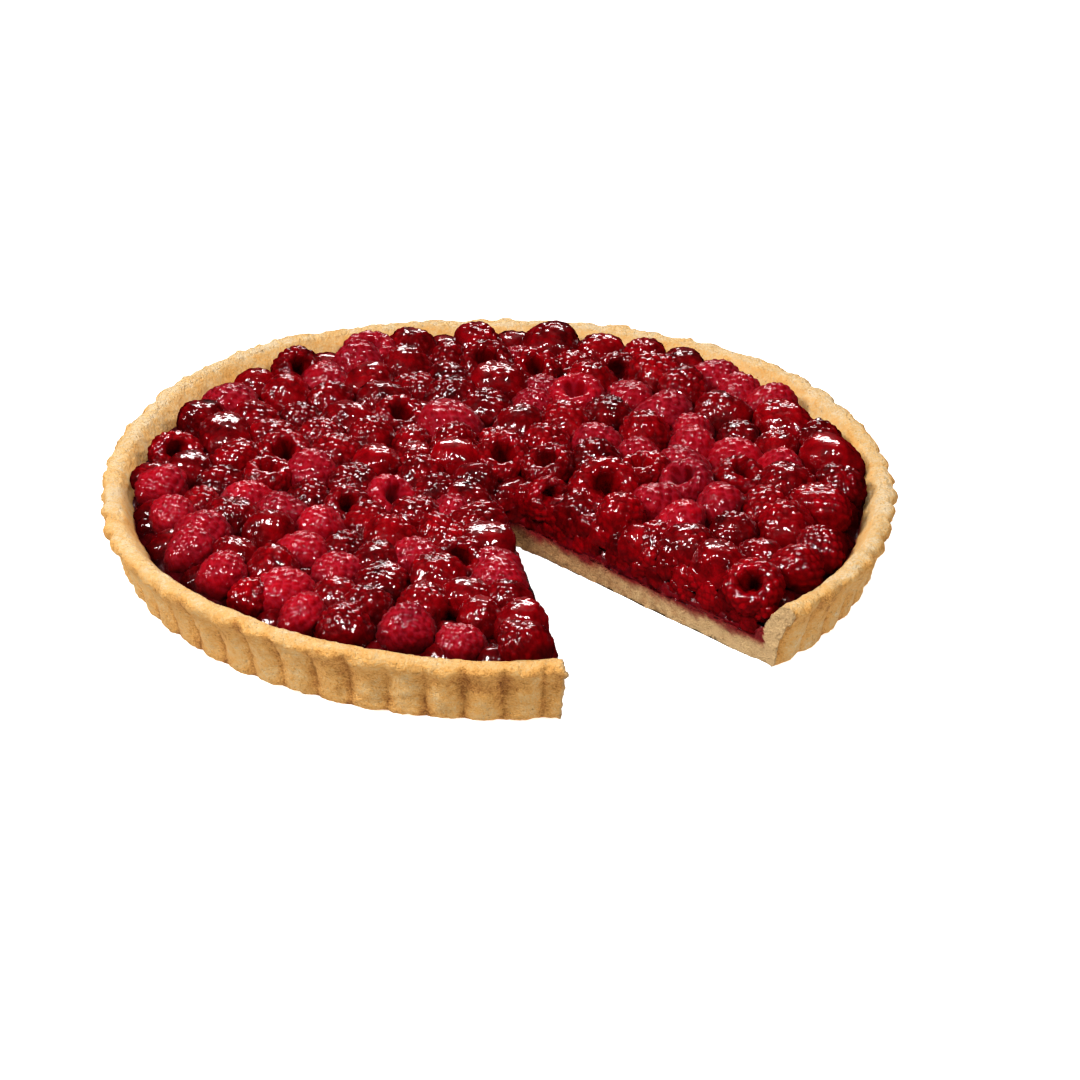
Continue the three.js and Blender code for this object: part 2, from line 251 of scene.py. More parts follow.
START_CUT = np.array([math.cos(GAP_START), math.sin(GAP_START)])
END_CUT = np.array([math.cos(GAP_END), math.sin(GAP_END)])
GAP_MIDDLE = (GAP_START + GAP_END) / 2
TIP_DISTANCE = GAP_TIP_RADIUS / math.sin((GAP_END - GAP_START) / 2)
TIP_CENTRE = GAP_APEX + TIP_DISTANCE * np.array([math.cos(GAP_MIDDLE), math.sin(GAP_MIDDLE)])
TIP_ARC = (GAP_END + math.pi / 2, GAP_START + 3 * math.pi / 2)


def beside_start(place):
    """How far a point lies on the tart's side of the first cut."""
    away = place - GAP_APEX
    return away[..., 0] * START_CUT[1] - away[..., 1] * START_CUT[0]


def beside_end(place):
    """How far a point lies on the tart's side of the second cut."""
    away = place - GAP_APEX
    return away[..., 1] * END_CUT[0] - away[..., 0] * END_CUT[1]


def nearer_start(place):
    """Whether a point lies nearer to the first cut than to the second."""
    return np.abs(beside_start(place)) < np.abs(beside_end(place))


def along_start(place):
    """How far out along the first cut a point lies."""
    return (place - GAP_APEX) @ START_CUT


def start_inset(place):
    """How far the fruit stands back from the first cut, except near the wall."""
    return START_INSET * (1 - rise_between(along_start(place), *INSET_FADES))


def gap_depth(place):
    """How deep points lie in the gap, negative outside it, and the way out."""
    from_centre = place - TIP_CENTRE
    radius = np.linalg.norm(from_centre, axis=-1)
    angle = np.arctan2(from_centre[..., 1], from_centre[..., 0]) % (2 * math.pi)
    at_tip = (angle > TIP_ARC[0]) & (angle < TIP_ARC[1])
    start, end = -beside_start(place), -beside_end(place)
    out_start = np.array([START_CUT[1], -START_CUT[0]])
    out_end = np.array([-END_CUT[1], END_CUT[0]])
    outward = np.where((start < end)[..., None], out_start, out_end)
    outward = np.where(at_tip[..., None], from_centre / (radius[..., None] + 1e-9), outward)
    depth = np.where(at_tip, GAP_TIP_RADIUS - radius, np.minimum(start, end))
    return depth, outward


def distance_along(cut, radius):
    """How far out along a cut a circle round the tart's centre is met."""
    middle = GAP_APEX @ cut
    return -middle + math.sqrt(middle**2 - GAP_APEX @ GAP_APEX + radius**2)


def rim_angles(radius):
    """The angles where a circle round the tart leaves the second cut and meets the first."""
    end = GAP_APEX + distance_along(END_CUT, radius) * END_CUT
    start = GAP_APEX + distance_along(START_CUT, radius) * START_CUT
    return math.atan2(end[1], end[0]), math.atan2(start[1], start[0]) + 2 * math.pi


def cut_path(radius, steps_along, steps_round):
    """Plan points in along the first cut, round the tip and out along the second cut."""
    on_arc = np.linspace(TIP_ARC[1], TIP_ARC[0], steps_round + 1)
    arc = TIP_CENTRE + GAP_TIP_RADIUS * np.stack([np.cos(on_arc), np.sin(on_arc)], axis=-1)
    share = np.linspace(0, 1, steps_along + 1)[:, None]
    start = GAP_APEX + distance_along(START_CUT, radius) * START_CUT
    end = GAP_APEX + distance_along(END_CUT, radius) * END_CUT
    inwards = start + share * (arc[0] - start)
    outwards = arc[-1] + share * (end - arc[-1])
    return np.concatenate([inwards, arc[1:-1], outwards])


blunted = TIP_DISTANCE - GAP_TIP_RADIUS
print("the gap's blunt tip lies", round(blunted, 1), "mm from where the cuts meet")

# %% [markdown]
# ## The pastry case
# Shortcrust is pressed into a fluted tin, so the wall is a row of rounded ribs with sharp
# grooves between, and a lip that swells over them as it bakes. A boolean cut through a
# turned shape would leave the cut faces as bare flat faces with no room for crumb. So the
# wall's outline is swept round from cut to cut, and the cut faces are woven as fine grids
# between the inner and the outer outline. All patches share their edge points and are
# welded into one closed skin.

# %% Case outline
RIM_RADIUS = 134.4
CRUST_HEIGHT = 22.8
BASE_THICKNESS = 8.5
WALL_FOOT_RADIUS = 117.0
SEAM_RADIUS = WALL_FOOT_RADIUS - 5
OUTLINE_STEPS = 38
CURVE_STEPS = 20
MEASURED_STEP = 30

INNER_OUTLINE = [
    (SEAM_RADIUS, BASE_THICKNESS),
    (116.0, 9.3),
    (119.6, 12.0),
    (122.0, 15.2),
    (124.0, 18.2),
    (125.9, 20.8),
    (127.4, 22.4),
    (128.8, 23.0),
    (131.0, 23.1),
]
OUTER_OUTLINE = [
    (SEAM_RADIUS, 0.0),
    (119.0, 0.0),
    (125.0, 0.0),
    (126.6, 0.9),
    (127.5, 4.0),
    (129.6, 11.0),
    (131.3, 15.8),
    (132.5, 17.8),
    (133.8, 19.5),
    (134.1, 21.0),
    (133.1, 22.4),
    (131.0, 23.0),
]


def smooth_line(control, steps):
    """An even walk along a smooth curve through the control points."""
    control = np.array(control)
    before, after = 2 * control[0] - control[1], 2 * control[-1] - control[-2]
    ends = np.concatenate([[before], control, [after]])
    share = np.linspace(0, 1, CURVE_STEPS, endpoint=False)[:, None]
    pieces = []
    for a, b, c, d in zip(ends, ends[1:], ends[2:], ends[3:]):
        bend = 2 * a - 5 * b + 4 * c - d
        twist = 3 * b - a - 3 * c + d
        pieces.append(b + 0.5 * ((c - a) * share + bend * share**2 + twist * share**3))
    line = np.concatenate([*pieces, control[-1:]])
    walked = np.concatenate([[0], np.cumsum(np.linalg.norm(np.diff(line, axis=0), axis=1))])
    even = np.linspace(0, walked[-1], steps)
    columns = [np.interp(even, walked, line[:, axis]) for axis in range(line.shape[1])]
    return np.stack(columns, axis=-1)


inner_line = smooth_line(INNER_OUTLINE, OUTLINE_STEPS)
outer_line = smooth_line(OUTER_OUTLINE, OUTLINE_STEPS)
wall_outside, wall_level = outer_line[MEASURED_STEP]
wall_inside = np.interp(wall_level, inner_line[:, 1], inner_line[:, 0])
thick = round(float(wall_outside - wall_inside), 1)
print("the wall is", thick, "mm thick at height", round(float(wall_level), 1))

# %% [markdown]
# ## Flutes and the hand of the baker
# Sixty-four flutes go round. Each rib is the arch of a sine, which gives the round back and
# the sharp groove that a tin leaves. The flutes start at the foot and grow shallower towards
# the lip. Slow waves carry the rim a little in and out and up and down, as fingers leave it.

# %% Flutes and rim waves
FLUTES = 64
FLUTE_DEPTH = 2.4
FIRST_GROOVE = -88.3 * DEGREE
RIM_SWAY = 0.5
RIM_LIFT = 0.35
# Spans of radius and height over which the flutes start, deepen and grow shallower.
FLUTES_START = (118, 125.5)
FLUTES_DEEPEN = (0.5, 9)
UPPER_WALL = (10, 18.5)
OVER_LIP = (20, 22.9)
# Each wave is a number of times round, a start and a share.
SWAY_WAVES = [(2, 0.6, 1), (4, -1.57, 2.2), (5, 2.1, 0.6), (11, 0, 0.4)]
LIFT_WAVES = [(3, 1.1, 1), (4, -1.57, 2.0), (7, 4, 0.7), (17, 2, 0.5)]


def groove_share(angle):
    """0 on the crown of a rib, 1 in the groove."""
    return 1 - np.abs(np.sin((angle - FIRST_GROOVE) * FLUTES / 2))


def flute_share(radius, height):
    """How deep the flutes are at a place on the outline, as a share."""
    foot = rise_between(radius, *FLUTES_START) * (0.6 + 0.4 * rise_between(height, *FLUTES_DEEPEN))
    above = 1 - 0.3 * rise_between(height, *UPPER_WALL)
    return foot * (above - 0.3 * rise_between(height, *OVER_LIP))


def waves_at(waves, angle):
    """The waves added up at an angle."""
    return sum(share * np.sin(times * angle + start) for times, start, share in waves)


def bake_rim(points):
    """Moves wall points with the slow waves of the rim, fully at the lip."""
    angle = np.arctan2(points[:, 1], points[:, 0])
    radius = np.hypot(points[:, 0], points[:, 1])
    share = np.clip((points[:, 2] - BASE_THICKNESS) / (CRUST_HEIGHT - BASE_THICKNESS), 0, 1)
    share = share * (radius > WALL_FOOT_RADIUS - 1)
    radius = radius + share * RIM_SWAY * waves_at(SWAY_WAVES, angle)
    height = points[:, 2] + share * RIM_LIFT * waves_at(LIFT_WAVES, angle)
    return np.stack([radius * np.cos(angle), radius * np.sin(angle), height], axis=-1)


print("one flute is", round(2 * math.pi * RIM_RADIUS / FLUTES, 1), "mm wide")

# %% [markdown]
# ## Sweeping the wall
# Twelve columns of points to a flute keep both the round back of a rib and its sharp
# groove. The inside of the wall is plain, because the dough was pressed there by hand, so
# only the outside is fluted. Both sides end in the same crown line along the top.

# %% Sweep the wall
COLUMNS_PER_FLUTE = 12
WALL_SHARE = 1 - (GAP_END - GAP_START) / (2 * math.pi)
WALL_COLUMNS = round(FLUTES * COLUMNS_PER_FLUTE * WALL_SHARE)


def swept(line, fluted):
    """Rows of points round the tart, one row for each point of the outline."""
    rows = []
    for radius, height in line:
        angle = np.linspace(*rim_angles(radius), WALL_COLUMNS)
        reach = radius - fluted * FLUTE_DEPTH * flute_share(radius, height) * groove_share(angle)
        row = [reach * np.cos(angle), reach * np.sin(angle), np.full_like(angle, height)]
        rows.append(np.stack(row, axis=-1))
    return np.array(rows)


inside = swept(inner_line, 0)
outside = swept(outer_line, 1)
crown = (inside[-1] + outside[-1]) / 2
inside[-1] = outside[-1] = crown
print("the wall is swept in", WALL_COLUMNS, "columns")

# %% [markdown]
# ## Cut faces and base
# At each end of the sweep the inner and the outer outline face each other across the cut,
# and rows of points between them make the cut face. The base's own cut face follows the
# knife's path round the tip. The top of the base is hidden under the jam, and the underside
# is flat, so both are simple fans from a point behind the tip.

# %% Cut faces and base
ACROSS_CUT = 12
ALONG_CUT = 110
ROUND_TIP = 14
UNDERSIDE_RINGS = 6
HUB_BEHIND_CUTS = 3
HUB = GAP_APEX - HUB_BEHIND_CUTS * np.array([math.cos(GAP_MIDDLE), math.sin(GAP_MIDDLE)])


def at_height(plan, height):
    """Plan points lifted to a height."""
    return np.column_stack([plan, np.full(len(plan), float(height))])


def between_rows(first, last, steps):
    """Rows of points from one row to another, both included."""
    share = np.linspace(0, 1, steps + 1)[:, None, None]
    return first + share * (last - first)


def fan(loop, rings, height):
    """Rings of points from the hub out to a closed loop."""
    hub = np.array([*HUB, height])
    share = np.linspace(0, 1, rings + 1)[:, None, None]
    return hub + share * (loop - hub)


base_path = cut_path(SEAM_RADIUS, ALONG_CUT, ROUND_TIP)
base_top = at_height(base_path, BASE_THICKNESS)
base_foot = at_height(base_path, 0)
case_points, case_faces = join_patches([
    (inside, False),
    (outside, False),
    (between_rows(inside[:, 0], outside[:, 0], ACROSS_CUT), False),
    (between_rows(inside[:, -1], outside[:, -1], ACROSS_CUT), False),
    (between_rows(base_top, base_foot, ACROSS_CUT), False),
    (fan(np.concatenate([inside[0], base_top[1:-1]]), 1, BASE_THICKNESS), True),
    (fan(np.concatenate([outside[0], base_foot[1:-1]]), UNDERSIDE_RINGS, 0.0), True),
])
print("the case has", len(case_points), "points")

# %% [markdown]
# ## How the crust is baked
# Colour follows the oven, with painted light and shade laid into it. The lip's top is paler,
# partly as a dry crust and partly as painted light from above, and the front of the rim is a
# little darker, which is painted shade. The ribs turn golden, and the grooves and the spots
# under the lip are darker with painted shade. The cut shows the pale inside of the dough,
# soaked dark near the jam, and is darker near the tip with painted shade. These amounts are
# worked out from each point's place before the surface is ruffled, so that the colour sits
# exactly on the form.

# %% Bake amounts
HALF_WALL = 2.5
# Spans of height over which each mark comes or goes.
UNDER_LIP_SHADE_COMES = (8, 15)
UNDER_LIP_SHADE_GOES = (17.6, 20.5)
GROOVE_SHADE_FADES = (18, 22)
FOOT_FADES = (0, 3)
LIP_GOLDEN = (18.5, 20)
LIP_STARTS = (16.5, 18.5)
INSIDE_PALES = (15, 21)
CROWN_PALES = (21.9, 22.8)
JUICE_SOAKS = (3.6, 7.6)
SMEAR_ENDS = (15.0, 17.0)
# Spans of how far forward a point lies, for the painted shade at the front, and of how deep it lies
# in the gap.
FRONT_SHADE_SPAN = (30, 120)
AT_KNIFE = (-0.25, -0.05)
SOAKED_REACH = 121


def case_numbers(points):
    """How toasted, painted with light and shade, cut, stained and rough each point of the case is,
    as shares.
    """
    radius = np.hypot(points[:, 0], points[:, 1])
    angle = np.arctan2(points[:, 1], points[:, 0])
    height = points[:, 2]
    middle = np.interp(height, inner_line[:, 1], inner_line[:, 0]) + HALF_WALL
    outer = (radius > middle) & (radius > WALL_FOOT_RADIUS)
    rib = 1 - groove_share(angle)
    spotty = 0.7 + 0.8 * lumps(points * [1, 1, 0.7], 8, 11) + 0.5 * lumps(points, 3, 12)
    # Painted shade: darker spots under the lip, on the backs of the ribs.
    painted_under_lip_shade = rise_between(height, *UNDER_LIP_SHADE_COMES) * (1 - rise_between(height, *UNDER_LIP_SHADE_GOES))
    painted_under_lip_shade = painted_under_lip_shade * rib * np.clip(spotty, 0, 1.3)
    # Painted shade: the grooves are darker.
    painted_groove_shade = 0.36 * (1 - rib) ** 2 * (1 - rise_between(height, *GROOVE_SHADE_FADES))
    outer_toast_and_shade = 0.33 + painted_groove_shade + 0.2 * painted_under_lip_shade
    outer_toast_and_shade = outer_toast_and_shade + 0.1 * (1 - rise_between(height, *FOOT_FADES))
    outer_toast_and_shade = outer_toast_and_shade + 0.14 * rise_between(height, *LIP_GOLDEN)
    inner_toast = 0.36 - 0.06 * rise_between(height, *INSIDE_PALES)
    crown_share = rise_between(height, *CROWN_PALES)
    # The lip's top is paler, partly as painted light from above, and darker at the front with
    # painted shade.
    crown_toast_and_painted_light = 0.14 + 0.16 * rise_between(-points[:, 1], *FRONT_SHADE_SPAN)
    wall_toast_and_shade = np.where(outer, outer_toast_and_shade, inner_toast)
    toast_and_painted_light = wall_toast_and_shade * (1 - crown_share) + crown_toast_and_painted_light * crown_share
    cut = rise_between(gap_depth(points[:, :2])[0], *AT_KNIFE)
    soaked = height + 1.3 * lumps(points, 5, 31) + 0.7 * lumps(points, 1.6, 33)
    wet = cut * rise_between(soaked, *JUICE_SOAKS) * (radius < SOAKED_REACH)
    smeared = height + 1.2 * lumps(points, 6, 32)
    smear = (1 - outer) * (1 - rise_between(smeared, *SMEAR_ENDS)) * (1 - cut)
    return {
        "toast_and_painted_light": toast_and_painted_light + 0.12 * lumps(points, 16, 21) + 0.09 * lumps(points, 5, 22),
        "cut": cut,
        "stain": np.clip(wet + smear, 0, 1),
        # Painted shade on the crumb: low near the tip, where it is painted darkest, 1 at the wall.
        "painted_light_out_from_tip": np.clip(radius / WALL_FOOT_RADIUS, 0, 1),
        "rough": np.clip(0.4 + outer + cut + crown_share, 0, 1),
        "lip": outer * rise_between(height, *LIP_STARTS),
    }


case_marks = case_numbers(case_points)
print("mean toast of the case:", round(float(case_marks["toast_and_painted_light"].mean()), 2))

# %% [markdown]
# ## Crumb
# Baked dough is rough at every size, so four layers of noise move the points. The two wide
# ones bend the surface and are weaker at the cut, where the knife went straight. The two
# fine ones are the crumb, and are stronger at the cut. All four are stronger on the lip,
# which baked rough and open. The underside stays flat, because it lay on the tin.

# %% Crumb and case
CRUMB = [(0.34, 9), (0.26, 3.6), (0.3, 2.0), (0.2, 1.1)]
FINE_CRUMB = 3
LIP_CRUMB = 0.7
FLAT_BELOW = 0.01

ruffled = bake_rim(case_points)
for amount, size in CRUMB:
    if size < FINE_CRUMB:
        strength = (1 + 0.8 * case_marks["cut"]) * case_marks["rough"]
    else:
        strength = 1 - 0.6 * case_marks["cut"]
    strength = strength * (1 + LIP_CRUMB * case_marks["lip"])
    ruffled = ruffled + amount * strength[:, None] * ruffle(case_points, size, round(size * 10))
ruffled[:, 2] = np.where(case_points[:, 2] < FLAT_BELOW, 0, np.maximum(ruffled[:, 2], 0))
pastry_case = new_piece("pastry_case", ruffled, case_faces, case_marks)
face_outwards(pastry_case)

# %% [markdown]
# ## One set of brushes for every finish
# Each finish is a Principled shader fed by a few nodes. These small helpers add a node,
# set its values and link it, so that a finish below reads as a recipe. Sizes of a pattern
# are given in millimetres of the real thing.

# %% Finish helpers
PER_METRE = 1000
PER_MM = 1
FIRST_COLOUR = 6
SECOND_COLOUR = 7
MIXED_COLOUR = 2


class Finish:
    """A material in the making."""

    def __init__(self, name):
        """Starts from a plain Principled shader and the piece's own place."""
        self.material = bpy.data.materials.new(name)
        self.material.use_nodes = True
        self.nodes = self.material.node_tree.nodes
        self.links = self.material.node_tree.links
        self.shader = self.nodes["Principled BSDF"]
        self.place = self.add("ShaderNodeTexCoord").outputs["Object"]

    def add(self, kind, inputs=(), **settings):
        """Adds a node with its settings and feeds its inputs."""
        node = self.nodes.new(kind)
        for key, value in settings.items():
            setattr(node, key, value)
        for key, value in dict(inputs).items():
            self.feed(node.inputs[key], value)
        return node

    def feed(self, socket, value):
        """Links another node's socket to this one, or sets a constant."""
        if isinstance(value, bpy.types.NodeSocket):
            self.links.new(value, socket)
        else:
            socket.default_value = value

    def set(self, **values):
        """Sets sockets of the shader, with _ for each space in the socket's name."""
        for key, value in values.items():
            self.feed(self.shader.inputs[key.replace("_", " ")], value)

    def mark(self, name):
        """A number that is stored on the points, or a berry's own place."""
        node = self.add("ShaderNodeAttribute", attribute_name=name)
        return node.outputs["Vector"] if name == "berry_place" else node.outputs["Fac"]

    def noise(self, size, detail=2.0, place=None, unit=PER_METRE):
        """Soft noise. A place that is in millimetres has the unit PER_MM."""
        inputs = {"Scale": unit / size, "Detail": detail, "Vector": place or self.place}
        return self.add("ShaderNodeTexNoise", inputs).outputs["Fac"]

    def spots(self, size):
        """How far a point lies from the nearest of many scattered spots."""
        inputs = {"Scale": PER_METRE / size, "Vector": self.place}
        return self.add("ShaderNodeTexVoronoi", inputs).outputs["Distance"]

    def sum(self, *terms):
        """The sum of terms, each a value or a (value, factor) pair."""
        total = None
        for term in terms:
            value, factor = term if isinstance(term, tuple) else (term, 1.0)
            inputs = {0: value, 1: factor, 2: 0.0 if total is None else total}
            total = self.add("ShaderNodeMath", inputs, operation="MULTIPLY_ADD").outputs[0]
        return total

    def times(self, first, second):
        """The product of two values."""
        return self.add("ShaderNodeMath", {0: first, 1: second}, operation="MULTIPLY").outputs[0]

    def stretch(self, value, low, high):
        """0 where a value is at low, 1 where it is at high, and even between."""
        inputs = {"Value": value, "From Min": low, "From Max": high, "To Min": 0.0, "To Max": 1.0}
        return self.add("ShaderNodeMapRange", inputs).outputs[0]

    def ramp(self, value, *stops):
        """A colour chosen by a value, blended between the stops."""
        node = self.add("ShaderNodeValToRGB", {"Fac": value})
        band = node.color_ramp.elements
        while len(band) < len(stops):
            band.new(0.5)
        for stop, (position, colour) in zip(band, stops):
            stop.position = position
            stop.color = (*colour, 1)
        return node.outputs["Color"]

    def blend(self, share, first, second):
        """The first colour at share 0, the second at share 1."""
        node = self.add("ShaderNodeMix", {"Factor": share}, data_type="RGBA")
        for number, value in ((FIRST_COLOUR, first), (SECOND_COLOUR, second)):
            linked = isinstance(value, bpy.types.NodeSocket)
            self.feed(node.inputs[number], value if linked else (*value, 1))
        return node.outputs[MIXED_COLOUR]

    def relief(self, height, distance, strength=1.0):
        """A bump whose full height is a distance in millimetres."""
        inputs = {"Height": height, "Distance": distance * MM, "Strength": strength}
        return self.add("ShaderNodeBump", inputs).outputs["Normal"]


def dress(piece, finish, node):
    """Gives a piece its finish, hangs it on the root body and hides the model's part it stands for.
    """
    piece.data.materials.append(finish.material)
    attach(piece, "root")
    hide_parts(node)


print("finish helpers are ready")

# %% [markdown]
# ## Shortcrust
# Baked shortcrust is dry and matt, with a fine sandy grain, and flecked with darker toasted
# specks. A single golden colour looks like plastic. So the amount stored on the points, which
# holds the toast together with painted light and shade, picks a colour from pale cream to
# deep amber, noise at two sizes mottles it, and a fine bump adds the grain below the mesh's
# own relief.
# The glaze doesn't mirror the case, because that would lay a pale veil over the fruit.

# %% Shortcrust finish
shortcrust = Finish("shortcrust")
mottle = shortcrust.noise(3.2, 4)
sand = shortcrust.noise(0.7, 3)
# This amount holds the toast together with painted shade and painted light.
toast_and_painted_light = shortcrust.sum(shortcrust.mark("toast_and_painted_light"), (mottle, 0.65), (sand, 0.75), (-0.68, 1.0))
crust_colour = shortcrust.ramp(
    toast_and_painted_light,
    (0.0, (0.84, 0.64, 0.40)),
    (0.22, (0.82, 0.53, 0.235)),
    (0.5, (0.82, 0.43, 0.125)),
    (0.78, (0.52, 0.22, 0.055)),
    (1.0, (0.26, 0.095, 0.022)),
)
# The crumb is darker near the tip and lighter towards the wall: painted shade.
crumb_colour = shortcrust.ramp(
    shortcrust.sum((mottle, 0.6), (sand, 0.5), (shortcrust.mark("painted_light_out_from_tip"), 0.5), (-0.2, 1.0)),
    (0.2, (0.19, 0.08, 0.033)),
    (0.5, (0.45, 0.245, 0.105)),
    (0.8, (0.66, 0.44, 0.22)),
)
specks = shortcrust.stretch(shortcrust.spots(2.4), 0.16, 0.06)
baked = shortcrust.blend(shortcrust.mark("cut"), crust_colour, crumb_colour)
flecked = shortcrust.blend(shortcrust.times(specks, 0.65), baked, (0.36, 0.17, 0.055))
stained = shortcrust.blend(shortcrust.mark("stain"), flecked, (0.24, 0.008, 0.010))
pits = shortcrust.stretch(shortcrust.spots(1.9), 0.05, 0.3)
grain = shortcrust.sum((sand, 0.7), (shortcrust.noise(1.8, 3), 1.1), (pits, 0.12))
shortcrust.set(
    Base_Color=stained,
    Roughness=0.78,
    Normal=shortcrust.relief(grain, 1.3, shortcrust.mark("rough")),
    Specular_IOR_Level=0.3,
)
dress(pastry_case, shortcrust, "crust")
pastry_case.visible_glossy = False
print("shortcrust is dressed")

# %% [markdown]
# ## Where the berries sit
# The solid model settles its berries by a small simulation: some sit at chosen seats, the
# rest start on a sunflower spiral and push one another apart. Repeating the same draws in
# the same order puts every detailed berry exactly on its low-sided twin, and the draws
# come from one seed, so nothing moves from run to run.

# %% Berries in plain sight
PLACED_BERRIES = [
    # x, y, width, how it lies, lean and heading of its upper end in degrees, rise
    (-112, 18, 16.5, "cup", 45, -70, 0),
    (-113, -7, 16, "side", 75, 0, 0),
    (-107, -29, 17, "dome", 20, 120, 0),
    (-88, -30, 18.5, "dome", 30, 60, 0),
    (-103, -54, 17, "side", 80, 160, -1),
    (-89, -71, 18.5, "dome", 35, -100, -1),
    (-72, 17, 18, "cup", 35, -95, 0),
    (-93, 29, 19, "side", 75, 10, 0),
    (-95, 57, 20, "dome", 25, 100, 0),
    (-73, 84, 18, "cup", 42, -60, 1),
    (-50, 91, 19, "dome", 35, 140, 1),
    (-34, 110, 18, "side", 70, 200, 1),
    (-8, 111, 20, "side", 75, 15, 1),
    (17, 111, 19, "dome", 15, 80, 1),
    (12, 90, 16.5, "cup", 35, -95, 1),
    (-52, 46, 18.5, "dome", 20, 80, 0),
    (-17, 67, 17, "dome", 25, 60, 1),
    (-17, 42, 22, "dome", 30, 20, 0),
    (1, 16, 19.5, "cup", 30, -80, 0),
    (14, -5, 15, "cup", 55, -60, -2),
    (-27, 3, 17.5, "side", 70, 190, 0),
    (-26, -27, 19, "side", 80, 0, 0),
    (-50, -20, 15, "cup", 35, -75, 0),
    (35, -6, 24, "cup", 35, -70, -1),
    (38, 53, 19, "side", 75, 20, 0),
    (76, 57, 19.5, "dome", 25, 70, 0),
    (75, 84, 18, "dome", 20, 60, 0),
    (98, 49, 21, "dome", 20, 20, 0),
    (62, 14, 18.5, "dome", 15, 90, 0),
    (60, -29, 19.5, "side", 75, 160, 0),
    (108, -18, 21, "side", 75, 40, 0),
    (84, -72, 18.5, "cup", 40, -110, -1),
    (-68, -82, 19.5, "dome", 25, -80, 0),
    (-51, -67, 16.5, "dome", 30, -60, 0),
    (-27, -108, 20, "dome", 30, -95, 0),
    (10, -114, 19, "side", 80, -20, -2),
    (-18, -73, 20, "side", 80, 5, 0),
    (-48, -106, 17, "side", 80, 100, -1),
    (-80, -86, 14.5, "dome", 30, -100, -1),
    (-40, -91, 17, "dome", 15, 60, 0),
    (-4, -97, 16, "dome", 20, -90, 0),
]
print(len(PLACED_BERRIES), "berries sit at chosen seats")

# %% [markdown]
# ## Strewing the rest
# A sunflower spiral fills a disc evenly without rows or rings. Each spot is moved a little
# and kept only where there is room, and a draw decides whether the berry stands on its open
# end, lies on its side or shows its hollow.

# %% Strew the loose berries
BERRY_REACH = 124
SPIRAL_SPOTS = 840
SPIRAL_REACH = BERRY_REACH - 8
GOLDEN_TURN = 3 - math.sqrt(5)
STREWN_OFF = 2
START_GAP_SHARE = 0.7
LOOSE_WIDTHS = (16, 19.5)
STANDING_BELOW = 0.5
LYING_BELOW = 0.8
LYING_LEANS = (65, 95)
OTHER_LEANS = (5, 40)
OPEN_HEADINGS = (-150, -30)
LOOSE_RISES = (-1.8, 1.4)
SEED = 20731
DRAW_FACTOR = 48271
DRAW_MODULUS = 2147483647


class Draws:
    """The same run of numbers from 0 to 1 every time."""

    def __init__(self, seed):
        """Starts the run at a seed."""
        self.seed = seed

    def draw(self):
        """The next number."""
        self.seed = (self.seed * DRAW_FACTOR) % DRAW_MODULUS
        return self.seed / DRAW_MODULUS

    def between(self, low, high):
        """The next number, spread from low to high."""
        return low + (high - low) * self.draw()


def loose_berries(draws, placed):
    """Berries on the spiral's spots that have room beside the placed ones."""
    seats = [(x, y, width / 2) for x, y, width, *_ in placed]
    loose = []
    for step in range(SPIRAL_SPOTS):
        distance = SPIRAL_REACH * math.sqrt((step + 0.5) / SPIRAL_SPOTS)
        angle = step * math.pi * GOLDEN_TURN
        x = distance * math.cos(angle) + draws.between(-STREWN_OFF, STREWN_OFF)
        y = distance * math.sin(angle) + draws.between(-STREWN_OFF, STREWN_OFF)
        radius = draws.between(*LOOSE_WIDTHS) / 2
        room = all(math.hypot(a - x, b - y) > START_GAP_SHARE * (r + radius) for a, b, r in seats)
        kind = draws.draw()
        pose = "dome" if kind < STANDING_BELOW else "side" if kind < LYING_BELOW else "cup"
        lean = draws.between(*(LYING_LEANS if pose == "side" else OTHER_LEANS))
        heading = draws.between(*(OPEN_HEADINGS if pose == "cup" else (0, 360)))
        rise = draws.between(*LOOSE_RISES)
        if room:
            seats.append((x, y, radius))
            loose.append((x, y, 2 * radius, pose, lean, heading, rise))
    return loose


loose = loose_berries(Draws(SEED), PLACED_BERRIES)
print(len(loose), "loose berries are strewn before they settle")

# %% [markdown]
# ## Settling
# Two hundred and forty small steps push apart whatever overlaps. Each step works out every
# pair at once as a square of distances, which is what numpy is good at. Loose berries stay
# inside the wall and are nudged back whole from the first cut. Those that end up well
# inside the missing portion are taken away.

# %% Settle the berries
SETTLING_STEPS = 240
HALF = 0.5
CUT_BERRY_SHARE = 0.3


def keep_inside(place, radius):
    """No loose berry climbs over the wall or stands across the first cut."""
    distance = np.linalg.norm(place, axis=1)
    limit = BERRY_REACH - radius
    place = place * np.minimum(1, limit / distance)[:, None]
    beside = beside_start(place)
    nudge = (along_start(place) > 0) & (beside > -HALF * radius) & (beside < radius)
    step = np.where(nudge, radius - beside, 0)[:, None]
    return place + step * np.array([START_CUT[1], -START_CUT[0]])


berries = [*PLACED_BERRIES, *loose]
seat = np.array([berry[:2] for berry in berries], dtype=float)
radii = np.array([berry[2] for berry in berries]) / 2
is_loose = np.arange(len(berries)) >= len(PLACED_BERRIES)
# Each berry of a pair takes half of their push, and goes half of the way in one step.
for _ in range(SETTLING_STEPS):
    to_other = seat[None] - seat[:, None]
    apart = np.sqrt((to_other**2).sum(axis=2)) + 1e-9
    lack = np.maximum(0, radii[:, None] + radii[None] - apart)
    np.fill_diagonal(lack, 0)
    moves = -((HALF * lack / apart)[..., None] * to_other).sum(axis=1)
    settled = keep_inside(seat + HALF * moves, radii)
    seat = np.where(is_loose[:, None], settled, seat)

